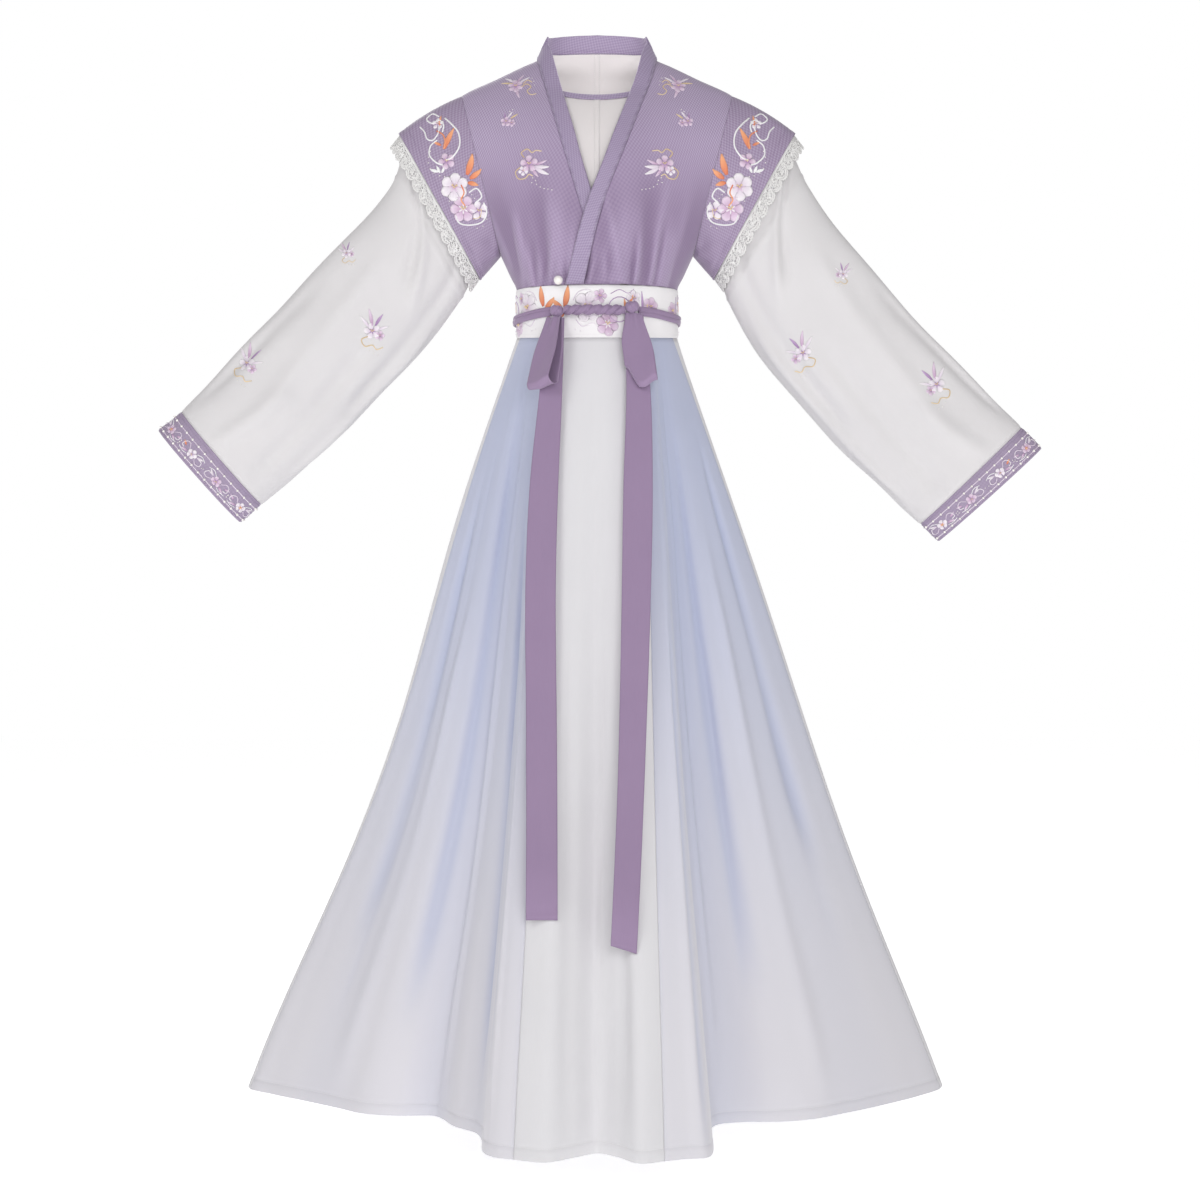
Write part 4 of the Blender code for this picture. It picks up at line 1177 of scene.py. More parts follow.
def check_group():
    """The jacquard's small slanting check, from a flat position in metres: a mask of its lighter squares."""
    group, inside, outside = group_of(
        "slanting_check",
        (("Position", "NodeSocketVector", None), ("Pitch", "NodeSocketFloat", CHECK_SQUARE)),
        (("Mask", "NodeSocketFloat"),),
    )
    turned = group.nodes.new("ShaderNodeVectorRotate")
    turned.inputs["Axis"].default_value = (0, 0, 1)
    turned.inputs["Angle"].default_value = math.radians(CHECK_SLANT)
    group.links.new(inside.outputs["Position"], turned.inputs["Vector"])
    both = crossed_waves(group, turned.outputs[0], inside.outputs["Pitch"])
    sharp = maths(group, "ADD", maths(group, "MULTIPLY", both, 1.4), 0.5)
    sharp.node.use_clamp = True
    group.links.new(sharp, outside.inputs["Mask"])
    return group


slanting_check = check_group()


def jacquard(name, colour, deep, check_share, fade_low=False):
    """Lilac jacquard: the plain cloth with its check woven in a paler and duller thread, and shade painted
    darker into the hollows between folds.
    """
    material, base, place = cloth_parts(name, colour, deep, 0.62, 0.3, thread=0.0005, bump=0.2)
    tree = material.node_tree
    check = grouped(tree, slanting_check, place)
    share = maths(tree, "MULTIPLY", check.outputs["Mask"], check_share)
    if fade_low:
        fade = fading(tree, parts_of(tree, place)[1], *CHECK_FADES, To_Min=1.0, To_Max=LOW_CHECK)
        share = maths(tree, "MULTIPLY", share, fade.outputs[0])
    shader = tree.nodes["Principled BSDF"]
    woven = mixed(tree, share, base, CHECK_THREAD)
    # Painted shade: darker lilac where a piece marks hollows between its folds
    shade = maths(tree, "MULTIPLY", marked(tree, "fold_shade"), HOLLOW_SHADE)
    tree.links.new(mixed(tree, shade, woven, FOLD_SHADE_LILAC), shader.inputs["Base Color"])
    rough = maths(tree, "SUBTRACT", 0.7, maths(tree, "MULTIPLY", share, 0.4))
    tree.links.new(rough, shader.inputs["Roughness"])
    return material


lilac_jacquard = jacquard("lilac_jacquard", (0.36, 0.275, 0.41), (0.285, 0.212, 0.345), 0.58, fade_low=True)

front_right, front_left = jacket_front("right"), jacket_front("left")
s, t = grid(np.linspace(-1, 1, 131), np.linspace(0, 1, 84))
x, drop = whole_plan(s, t, back_top(SHOULDER[0] * np.abs(s)), 1)
folds = gathered(np.abs(x), drop, GATHERS["back"]) + tucked(np.abs(x) + 1.5 * np.sign(x), drop, TUCKS["back"])
folds += 1.0 * np.sin(drop / 27 + x / 31) * ease((drop - 30) / 60) * ease((290 - drop) / 40)
folds = kept_out(folds, x)
jacket_back = shell("dressed_jacket_back", on_torso(x, drop, 1, folds), 1, JACKET_CLOTH, lilac_jacquard)
mark_fold_shade(jacket_back, folds, drop)

# Collar. One folded band of the same jacquard, sewn round the neck and down both crossed edges, with a line
# of stitching just inside its seam.
COLLAR_CLOTH = 1.8


def collar_surface(side, k, w):
    """Half of the collar band. k runs from the middle of the back down to its end, w to its free edge."""
    row = collar_rows[side](k)
    x, drop, inwards, back, up = (row[..., n] for n in range(5))
    on_chest = ease((k - 5.5) / 1.5)[..., None]

    def at(x, drop):
        raised = overlap_lift(x, drop) * (k > 4) if side == "left" else 0.0
        behind, ahead = on_torso(x, drop, 1), on_torso(x, drop, -1, raised)
        return np.where((k < 4)[..., None], behind, ahead)

    seam = at(x, drop)
    leaning = seam + joined(inwards * w**1.5, back * w, up * w)
    flat_x = x + w * inwards
    flat = at(flat_x, np.minimum(drop - w * up, waist_drop(flat_x, -1)))
    points = leaning * (1 - on_chest) + flat * on_chest
    points[..., 0] *= SIGN[side]
    return points


stations = np.linspace(0, 12, 150)
widths = [0, 0.02, 0.05, 0.09, 0.13, 0.17, 0.21, *np.linspace(0.28, 0.9, 12), 0.94, 0.97, 0.99, 1]
k, w = grid(stations, widths)
collar_points = np.concatenate([collar_surface("right", k, w)[:0:-1], collar_surface("left", k, w)])
seam_roll = -0.9 * bell(w / 0.02) - 0.55 * bell((w - 0.13) / 0.025) + 0.35 * np.sin(math.pi * w)
seam_roll -= 0.7 * bell((1 - w) / 0.015)
seam_roll = np.concatenate([seam_roll[:0:-1], seam_roll])
collar_points = lifted(collar_points, False, seam_roll)
collar_jacquard = jacquard("collar_jacquard", (0.325, 0.255, 0.385), (0.265, 0.205, 0.33), 0.3)
collar = shell("dressed_collar", collar_points, 1, COLLAR_CLOTH, collar_jacquard)

s, w = grid(np.linspace(-0.97, 0.97, 120), np.linspace(0, 1, 9))
x = NECKLINE_HALF * s
binding_depth = 3.2 - 0.6 * np.sin(math.pi * w)
binding_points = sunk(on_torso(x, neckline_drop(np.abs(x)) + BINDING_WIDTH * w, -1), -1, binding_depth)
binding = shell("dressed_neckline_binding", binding_points, -1, 1.3, collar_jacquard)

for piece, flat, area, carrier in (
    (front_right, (0.20, 0.33), 0.051, "dressed_waistband"),
    (front_left, (0.20, 0.33), 0.053, "dressed_waistband"),
    (jacket_back, (0.42, 0.34), 0.118, "dressed_waistband"),
    (collar, (0.83, 0.025), None, "dressed_jacket_back"),
    (binding, (0.215, 0.0105), None, "dressed_shirt_front"),
    (shirt_back, (0.42, 0.33), 0.11, "dressed_waistband"),
    (shirt_front, (0.42, 0.30), 0.095, "dressed_waistband"),
):
    dress(piece)

# Cap sleeves. Wide short sleeves of the jacquard, set into a dropped shoulder seam, with a narrow stitched
# hem and a trimming of scalloped cotton lace under it.
CAP_TOP = (264, -91)
CAP_LOW = (155, -286)
CAP_HALF_DEPTH = 49
CAP_CROWN = 4
CAP_HEM = 0.91
CAP_SHARES = [0, 0.01, 0.03, *np.linspace(0.06, CAP_HEM - 0.02, 34), CAP_HEM - 0.008, CAP_HEM + 0.004]
CAP_SHARES += [0.94, 0.97, 0.99, 1]
LACE_SCALLOPS = 34
LACE_THREAD = 1.25
LACE_WIDTH = 16
LACE_SCALLOP = 4
LACE_FLOW = (0.6, -0.8)
THREAD_SIDES = 4
LACE_NET = 0.4
# Cells of the net in a metre, half a thread as a share of a cell, and the closed edge in metres
NET_CELLS = 330
NET_THREAD = 0.11
SELVEDGE = 0.0035
# Creases: degrees round the cap and share of the way to its hem, where each starts and ends, width, height
CAP_CREASES = (
    (150, 0.0, 128, 0.95, 7, -2.6),
    (163, 0.0, 150, 0.9, 6, 2.0),
    (112, 0.1, 96, 0.8, 9, 1.5),
    (60, 0.0, 66, 0.7, 9, -1.6),
    (28, 0.2, 22, 0.95, 8, 1.3),
    (205, 0.0, 222, 0.95, 8, -2.4),
    (238, 0.1, 252, 0.8, 9, 1.8),
    (300, 0.0, 292, 0.8, 9, -1.6),
    (332, 0.1, 340, 0.9, 8, 1.4),
)


def ring_points(top, low, half_depth, middle_y, angle):
    """Points of an oval ring that stands in a sleeve. Angle 0 is its top and 90 degrees its front."""
    x = (top[0] + low[0]) / 2 + (top[0] - low[0]) / 2 * np.cos(angle)
    z = (top[1] + low[1]) / 2 + (top[1] - low[1]) / 2 * np.cos(angle)
    return joined(x, middle_y - half_depth * np.sin(angle), z)


def armhole_ring(angle):
    """Points of the armhole seam. Angle 0 is the shoulder and 90 degrees the front."""
    f = (1 - np.cos(angle)) / 2
    x = SHOULDER[0] + (ARMPIT[0] - SHOULDER[0]) * f
    drop = SHOULDER[1] + (ARMPIT[1] - SHOULDER[1]) * f
    return np.where((np.sin(angle) > 0)[..., None], on_torso(x, drop, -1), on_torso(x, drop, 1))


def cap_surface(angle, r):
    """Points of a cap, r of the way from its seam to its hem."""
    seam = armhole_ring(angle)
    hem = ring_points(CAP_TOP, CAP_LOW, CAP_HALF_DEPTH, 0, angle)
    crown = CAP_CROWN * 4 * r * (1 - r) * np.maximum(np.cos(angle), 0)
    return seam + (hem - seam) * r[..., None] + crown[..., None] * np.array([0.45, 0, 0.89])


def lace_surface(angle, r, reach=None):
    """Points of the lace, r of its reach from the inside of the cap's hem."""
    hem = ring_points(CAP_TOP, CAP_LOW, CAP_HALF_DEPTH, 0, angle)
    middle = np.array([(CAP_TOP[0] + CAP_LOW[0]) / 2, 0, (CAP_TOP[1] + CAP_LOW[1]) / 2])
    tucked_in = hem - 2.2 * unit(hem - middle)
    if reach is None:
        reach = LACE_WIDTH + LACE_SCALLOP * np.abs(np.sin(LACE_SCALLOPS * angle / 2))
    return tucked_in + (r * reach)[..., None] * np.array([LACE_FLOW[0], 0, LACE_FLOW[1]])


lace_cotton = cloth("lace_cotton", (0.86, 0.85, 0.84), (0.78, 0.77, 0.76), 0.9, 0.1, thread=0.0005, bump=0.5)


def lace_net():
    """The lace's ground: a fine net of threads with see-through meshes."""
    material, _, place = cloth_parts("lace_net", (0.86, 0.85, 0.84), (0.78, 0.77, 0.76), 0.9, 0.1, bump=0.4)
    tree = material.node_tree
    cells = tree.nodes.new("ShaderNodeTexVoronoi")
    cells.feature = "DISTANCE_TO_EDGE"
    cells.inputs["Scale"].default_value = NET_CELLS
    tree.links.new(place, cells.inputs["Vector"])
    solid_part = maths(tree, "LESS_THAN", cells.outputs["Distance"], NET_THREAD)
    selvedge = maths(tree, "LESS_THAN", parts_of(tree, place)[1], SELVEDGE)
    closed = maths(tree, "MAXIMUM", solid_part, selvedge)
    tree.links.new(closed, tree.nodes["Principled BSDF"].inputs["Alpha"])
    return material


net = lace_net()


def thread_tubes(lines, radius):
    """Points and faces of thin tubes along lines, each an array of points in millimetres."""
    points, faces = [], []
    start = 0
    for line, size in zip(lines, radius if hasattr(radius, "__len__") else [radius] * len(lines)):
        line = np.asarray(line)
        along = unit(np.gradient(line, axis=0))
        side = unit(np.cross(along, [0.13, 0.4, 0.9]))
        other = np.cross(along, side)
        turn = (np.arange(THREAD_SIDES) * 2 * math.pi / THREAD_SIDES)[None, :, None]
        taper = np.ones(len(line))
        taper[[0, -1]] = 0.35
        outline = np.cos(turn) * side[:, None] + np.sin(turn) * other[:, None]
        rings = line[:, None] + size * taper[:, None, None] * outline
        points.append(rings.reshape(-1, 3))
        faces += [[start + corner for corner in face] for face in tube_grid(rings)]
        start += len(points[-1])
    return np.concatenate(points), faces


def lace_lines(side):
    """The lace's corded threads: for each scallop two arcs, loops and bars, and head lines over all."""
    lines, sizes = [], []
    step = 2 * math.pi / LACE_SCALLOPS

    def laid(angle, depth):
        angle = np.asarray(angle, dtype=float)
        return sided(lace_surface(angle, np.asarray(depth, dtype=float), 1.0), side)

    def line(angles, depths, size):
        lines.append(laid(angles, depths))
        sizes.append(LACE_THREAD * size)

    around = np.linspace(0, 2 * math.pi, 300)
    line(around, 3 + 0 * around, 0.55)
    line(around, 5.4 + 0.9 * np.sin(around * LACE_SCALLOPS * 2), 0.45)
    for n in range(LACE_SCALLOPS):
        start = n * step
        f = np.linspace(0, 1, 11)
        arc = np.sin(math.pi * f)
        line(start + step * f, LACE_WIDTH + 0.2 + LACE_SCALLOP * arc, 0.75)
        line(start + step * f, LACE_WIDTH - 3.2 + LACE_SCALLOP * arc, 0.5)
        for petal in range(5):
            turn = math.pi * (petal - 2) / 3.1
            reach = np.sin(math.pi * f) * 3.1
            spread = np.sin(2 * math.pi * f) * 1.0
            middle = 10.4 + reach * math.cos(turn) - spread * math.sin(turn)
            side_way = reach * math.sin(turn) + spread * math.cos(turn)
            line(start + step * 0.5 + side_way / 112, middle, 0.42)
        for place in (0.12, 0.3, 0.5, 0.7, 0.88):
            g = np.linspace(0, 1, 4)
            out = LACE_WIDTH + 0.2 + LACE_SCALLOP * math.sin(math.pi * place)
            line(start + step * (place + 0 * g), out - 3.4 + 3.4 * g, 0.35)
            turn = np.linspace(0, 2 * math.pi, 7)
            line(start + step * place + 0.75 * np.cos(turn) / 112, out + 0.9 + 0.75 * np.sin(turn), 0.28)
        turn = np.linspace(0, 2 * math.pi, 11)
        line(start + 2.3 * np.cos(turn) / 112, 8.6 + 2.3 * np.sin(turn), 0.42)
    return lines, sizes


def sewn_tube(name, side, points, height, thick, material):
    """A tube of cloth on one side of the robe, raised into its folds, and its grid of points."""
    points = sided(lifted(points, True, height), side)
    return shell(f"dressed_{name}_{side}", points, SIGN[side], thick, material, ring=True), points


# Painted shade: the caps take the jacket's jacquard darker and duller, with a fainter check, for a cloth that
# hangs turned away at an angle
cap_jacquard = jacquard("cap_jacquard", (0.32, 0.242, 0.36), (0.25, 0.185, 0.295), 0.35)
cap_grids = {}
for side in ("right", "left"):
    degrees, r = grid(np.arange(180) * 2, CAP_SHARES)
    points = cap_surface(np.radians(degrees), r)
    height = soft_creases(degrees, r, CAP_CREASES)
    height -= 0.4 * bell(r / 0.012) + 0.6 * bell((r - CAP_HEM) / 0.008)
    height += 0.5 * ease((r - CAP_HEM) / 0.01) + 0.9 * np.sin(np.radians(degrees) * 5 + 1) * r**2
    height *= 1 - 0.5 * bell(np.minimum(degrees, 360 - degrees) / 12)
    cap, cap_grids[side] = sewn_tube("cap_sleeve", side, points, height, JACKET_CLOTH, cap_jacquard)
    dress(cap)

    angle, r = grid(np.arange(8 * LACE_SCALLOPS) * 2 * math.pi / (8 * LACE_SCALLOPS), np.linspace(0, 1, 9))
    net_points = sided(lace_surface(angle, r), side)
    ground = shell(f"dressed_lace_{side}", net_points, SIGN[side], LACE_NET, net, ring=True)
    points, faces = thread_tubes(*lace_lines(side))
    cording = linked_mesh(f"lace_cording_{side}", points, faces, sized_uvs(faces, points), [lace_cotton])
    dress(ground)

# Long sleeves. Straight tubes of sheer chiffon, sewn into the armholes under the caps, with a seam along the
# underside. They differ because the robe hangs turned a little.

# Station along the sleeve, x and z of its top, x and z of its underside, half depth, y of its middle
RIGHT_SLEEVE = (
    (0, 180, -50, 131, -248, 46, 0),
    (1, 252, -110, 162, -275, 37, 0),
    (2, 275, -163, 189, -323, 36, -2),
    (3, 336, -232, 251, -399, 36, -5),
    (4, 411, -312, 317, -468, 37, -9),
    (5, 476, -382, 372, -522, 37, -13),
    (6, 551, -462, 445, -585, 36, -17),
    (7, 581, -487, 473, -609, 36, -19),
)
LEFT_SLEEVE = (
    (0, 180, -50, 131, -248, 46, 0),
    (1, 254, -110, 161, -276, 37, 0),
    (2, 281, -162, 181, -328, 34, -2),
    (3, 336, -237, 232, -407, 32, -5),
    (4, 411, -325, 309, -495, 30, -9),
    (5, 488, -407, 377, -562, 29, -13),
    (6, 563, -483, 429, -611, 28, -17),
    (7, 589, -511, 453, -634, 28, -19),
)
SLEEVE_CLOTH = 0.7
# Creases: degrees round the sleeve and station where each starts, the same where it ends, width, height
SLEEVE_CREASES = (
    (38, 0.9, 108, 2.6, 7, -3.2),
    (52, 1.0, 122, 2.7, 8, 2.6),
    (132, 1.0, 150, 4.2, 9, -2.6),
    (70, 2.4, 92, 5.6, 10, 2.2),
    (112, 3.0, 128, 5.9, 9, -2.2),
    (40, 3.4, 30, 5.8, 10, -2.0),
    (96, 4.6, 80, 5.95, 8, 1.8),
    (158, 2.2, 166, 5.6, 8, 2.4),
    (200, 1.0, 214, 4.4, 9, -2.8),
    (232, 1.2, 246, 5.5, 11, 2.8),
    (268, 0.9, 258, 3.6, 10, -2.4),
    (286, 3.0, 278, 5.8, 9, -2.0),
    (318, 1.4, 306, 5.2, 10, 2.2),
    (342, 3.2, 346, 5.8, 9, -1.6),
)


def sleeve_surface(rows, angle, station):
    """Points of a long sleeve, which passes from the armhole seam to its ovals."""
    level = curve(rows)(station)
    tops, lows = (level[..., 0], level[..., 1]), (level[..., 2], level[..., 3])
    ovals = ring_points(tops, lows, level[..., 4], level[..., 5], angle)
    seam = armhole_ring(angle)
    middle = np.array([(SHOULDER[0] + ARMPIT[0]) / 2, 0, -(SHOULDER[1] + ARMPIT[1]) / 2])
    start = seam - 2.0 * unit(seam - middle) + np.array([1.2, 0, 0])
    share = ease(station)[..., None]
    return np.where((station >= 1)[..., None], ovals, start + (ovals - start) * share)


chiffon_colours = ((0.785, 0.765, 0.775), (0.70, 0.68, 0.69))
chiffon = cloth("sheer_chiffon", *chiffon_colours, 0.75, 0.12, thread=0.0004, bump=0.15, alpha=0.86)
SLEEVES = {"right": RIGHT_SLEEVE, "left": LEFT_SLEEVE}
for side, table in SLEEVES.items():
    degrees, station = grid(np.arange(120) * 3, np.linspace(0, 6, 84))
    points = sleeve_surface(table, np.radians(degrees), station)
    shift = 0 if side == "right" else 9
    strength = 1.35 + 0.75 * ease((station - 1.8) / 0.5)
    height = strength * soft_creases(degrees + shift, station, SLEEVE_CREASES)
    waves = 0.9 * np.sin(station * 4.1 + np.radians(degrees) * 3)
    height += waves * ease(station - 1) * ease((5.9 - station) / 0.6)
    height -= 0.8 * bell((station - 6) / 0.03)
    height *= ease((station - 0.7) / 0.6)
    height += 0.9 * bell((degrees - 180) / 2.5) + 1.2 * bell((station - 1.75) / 0.05)
    sleeve, _ = sewn_tube("sleeve", side, points, height, SLEEVE_CLOTH, chiffon)
    dress(sleeve)

# Cuffs. Bands of the jacquard, folded double and sewn to the ends of the sleeves. An embroidered vine runs
# round each between two corded lines, which carry small white beads.
CUFF_CLOTH = 1.8
CUFF_STATIONS = [6.0, 6.02, 6.06, 6.1, *np.linspace(6.15, 6.85, 16), 6.9, 6.94, 6.98, 7.0]
cuff_jacquard = jacquard("cuff_jacquard", (0.355, 0.285, 0.395), (0.29, 0.23, 0.34), 0.12)
cuff_grids = {}
for side, table in SLEEVES.items():
    degrees, station = grid(np.arange(200) * 1.8, CUFF_STATIONS)
    points = sleeve_surface(table, np.radians(degrees), station)
    height = 0.5 * np.sin(math.pi * (station - 6)) - 0.7 * bell((station - 6) / 0.03)
    height -= 0.7 * bell((7 - station) / 0.03)
    height += 0.5 * np.sin(np.radians(degrees) * 6 + 2) * (station - 6)
    cuff, cuff_grids[side] = sewn_tube("cuff", side, points, height, CUFF_CLOTH, cuff_jacquard)
    dress(cuff)

# Pearl. A round plastic bead with a pearly coat, sewn on where the wearer's left edge fastens, just above the
# waistband.
pearl_x, pearl_drop, pearl_radius = -50.0, 298.0, 6.0
pearl_lift = gathered(np.array([-pearl_x]), np.array([pearl_drop]), GATHERS["right"])[0]
beneath = on_torso(np.array(-pearl_x - pearl_radius), np.array(pearl_drop), -1, pearl_lift)
pearl_y = beneath[1] - pearl_radius - 0.2
polar, turn = grid(np.linspace(0.03, math.pi - 0.03, 30), np.arange(40) * 2 * math.pi / 40)
pearl_points = joined(
    pearl_x + pearl_radius * np.sin(polar) * np.cos(turn),
    pearl_y - pearl_radius * np.cos(polar),
    -pearl_drop + pearl_radius * np.sin(polar) * np.sin(turn),
)
pearl_shine, pearl_tree, shine = new_material("pearl_shine")
set_inputs(shine, Roughness=0.22, Coat_Weight=0.6, Sheen_Weight=0.3)
facing = pearl_tree.nodes.new("ShaderNodeLayerWeight")
facing.inputs["Blend"].default_value = 0.35
nacre = mixed(pearl_tree, facing.outputs["Facing"], (0.86, 0.83, 0.78), (0.72, 0.68, 0.74))
pearl_tree.links.new(nacre, shine.inputs["Base Color"])
pearl = solid_piece("dressed_pearl_button", pearl_points, pearl_shine)
dress(pearl)

# Stitching. The lines of machine sewing that show: along the collar's seam, the hems of the caps and skirt,
# the edges of the waistband and cuffs, and the felled seam down the middle of the inner shirt.
STITCH_PITCH = 2.9
STITCH_LENGTH = 2.3
STITCH_THREAD = 0.2


def stitched(path, normals):
    """Single stitches along a path of points: each dips into the cloth at both ends."""
    steps = np.linalg.norm(np.diff(path, axis=0), axis=1)
    along = np.concatenate([[0], np.cumsum(steps)])
    lines = []
    for start in np.arange(STITCH_PITCH / 2, along[-1] - STITCH_LENGTH, STITCH_PITCH):
        at = start + STITCH_LENGTH * np.array([0, 0.5, 1])
        both = np.concatenate([path, normals], axis=1)
        spots = np.stack([np.interp(at, along, column) for column in both.T], axis=1)
        lines.append(spots[:, :3] + spots[:, 3:] * np.array([0.02, 0.3, 0.02])[:, None])
    return lines


def sewing(name, grids, outwards, columns, ring, thread):
    """One mesh of stitches along the same columns of one or more grids of cloth. A ring's seam closes."""
    lines = []
    for points in grids:
        normals = grid_normals(points, ring) * outwards
        for column in columns:
            path, ups = points[:, column], normals[:, column]
            if ring:
                path, ups = np.concatenate([path, path[:1]]), np.concatenate([ups, ups[:1]])
            lines += stitched(path, ups)
    points, faces = thread_tubes(lines, STITCH_THREAD)
    piece = linked_mesh(name, points, faces, sized_uvs(faces, points), [thread])


violet_thread = cloth("violet_sewing_thread", (0.25, 0.18, 0.31), (0.19, 0.13, 0.25), 0.5, 0.3, thread=0.0003)
white_thread = cloth("white_sewing_thread", (0.86, 0.85, 0.86), (0.78, 0.77, 0.78), 0.5, 0.3, thread=0.0003)
# The columns of each grid that are sewn
COLLAR_SEAMS = (4,)
CAP_SEAMS = (35,)
CUFF_SEAMS = (2, -3)
WAISTBAND_SEAMS = (3, -4)
HEM_SEAMS = (58,)
SHIRT_SEAMS = (37, 41)
sewing("collar_stitching", [collar_points], 1, COLLAR_SEAMS, False, violet_thread)
for side, own in SIGN.items():
    sewing(f"cap_stitching_{side}", [cap_grids[side]], own, CAP_SEAMS, True, violet_thread)
    sewing(f"cuff_stitching_{side}", [cuff_grids[side]], own, CUFF_SEAMS, True, violet_thread)
sewing("waistband_stitching", [band_points], -1, WAISTBAND_SEAMS, True, white_thread)
sewing("hem_stitching", skirt_grids.values(), -1, HEM_SEAMS, False, white_thread)
# The shirt's seams show on the back's inner face and on the front's outer face.
inner_face = shirt_points - grid_normals(shirt_points, False) * SHIRT_CLOTH
faces_seen = [np.swapaxes(points, 0, 1) for points in (inner_face, shirt_front_points)]
sewing("shirt_stitching", faces_seen, 1, SHIRT_SEAMS, False, white_thread)

# Embroidery. Satin stitch and couched thread in lilac, white, gold and orange: flowers, leaves, curls and
# rows of tiny beads, worked on the jacket, the caps, the sleeves, the cuffs and the waistband. Each stitched
# shape lies on its cloth as a low padded form.

# Colours of each thread: at the root of a shape and at its tip
THREADS = {
    "lilac": ((0.47, 0.25, 0.45), (0.76, 0.62, 0.75)),
    "pale": ((0.66, 0.54, 0.68), (0.87, 0.82, 0.86)),
    "violet": ((0.30, 0.15, 0.36), (0.52, 0.36, 0.58)),
    "orange": ((0.66, 0.13, 0.06), (0.88, 0.40, 0.20)),
    "gold": ((0.60, 0.42, 0.20), (0.80, 0.63, 0.38)),
    "white": ((0.84, 0.83, 0.84), (0.92, 0.92, 0.92)),
}
TONES = (*THREADS, "bead")
# Width of a satin stitch in metres
SATIN_STITCH = 0.0007


def satin(name, root, tip):
    """Glossy embroidery thread, darker at the root of each shape, with the relief of its stitches, whose
    grooves are painted darker and crests lighter as shade.
    """
    material, tree, shader = new_material(f"thread_{name}")
    set_inputs(shader, Roughness=0.42, Sheen_Weight=0.3)
    weave = grouped(tree, plain_weave, cloth_place(tree))
    weave.inputs["Thread"].default_value = SATIN_STITCH
    # Painted shade: the stitches' grooves lean to the darker root colour and their crests to the paler tip
    # colour
    share = maths(tree, "ADD", maths(tree, "MULTIPLY", weave.outputs["Height"], 0.3), marked(tree, "along"))
    tree.links.new(mixed(tree, share, root, tip), shader.inputs["Base Color"])
    woven_relief(tree, weave.outputs["Height"], 0.5)
    return material


thread_materials = [satin(name, *tones) for name, tones in THREADS.items()] + [pearl_shine]


def leaf(x, z, angle, length, width, tone, bend=0.0, low=0.8):
    """A padded leaf or petal from its root: a bent middle line, half widths along it, and its thread."""
    share = np.linspace(0, 1, 8)
    turn = math.radians(angle) + bend * share
    steps = np.stack([np.cos(turn), np.sin(turn)], axis=1) * length / 7
    line = np.array([x, z]) + np.concatenate([[[0, 0]], np.cumsum(steps[:-1], axis=0)])
    halves = width / 2 * np.sin(math.pi * np.clip(share, 0.05, 0.95) ** low) ** 0.7
    return [(line, halves, 0.42, tone)]


def curl(points, tone, size=0.5):
    """Couched cord through points (x, z)."""
    count = len(points)
    line = curve([(n, *point) for n, point in enumerate(points)])(np.linspace(0, count - 1, 7 * count - 6))
    return [(line, np.full(len(line), size), size, tone)]


def ring_curl(x, z, radius, first, last, tone, size=0.5):
    """Couched cord round a point, drawing in a little as it goes."""
    turn = np.radians(np.linspace(first, last, max(6, int(abs(last - first) / 18))))
    reach = radius * np.linspace(1, 0.82, len(turn))
    line = np.stack([x + reach * np.cos(turn), z + reach * np.sin(turn)], axis=1)
    return [(line, np.full(len(turn), size), size, tone)]


def dot(x, z, radius, tone="bead"):
    """A bead or a knot of thread."""
    return [(np.array([[x, z]]), np.array([radius]), radius, tone)]


def dots(points, radius=0.75, tone="bead"):
    return [mark for point in points for mark in dot(*point, radius, tone)]


def flower(x, z, size, turn=0, count=5, outer="lilac", inner="violet", heart="gold"):
    """Broad petals, narrow ones between them, and three seeds."""
    marks = []
    for n in range(count):
        angle = turn + 360 * n / count
        reach = math.radians(angle)
        root_x, root_z = x + 0.12 * size * math.cos(reach), z + 0.12 * size * math.sin(reach)
        marks += leaf(root_x, root_z, angle, size * 0.9, size * 0.86, outer, low=1.7)
    for n in range(count):
        angle = turn + 360 * (n + 0.5) / count
        marks += leaf(x, z, angle, size * 0.42, size * 0.2, inner)
    seeds = [(x, z), (x + 0.16 * size, z + 0.1 * size), (x - 0.12 * size, z + 0.14 * size)]
    return marks + dots(seeds, size * 0.09, heart)


def moved(marks, x, z, size=1.0, turn=0.0, flip=False):
    """The same marks elsewhere, larger or smaller, turned, or mirrored."""
    angle = math.radians(turn)
    spin = np.array([[math.cos(angle), math.sin(angle)], [-math.sin(angle), math.cos(angle)]])
    placed = []
    for line, halves, thick, tone in marks:
        line = line * [-1, 1] if flip else line
        placed.append((line @ spin * size + [x, z], halves * (size if tone != "bead" else 1), thick, tone))
    return placed


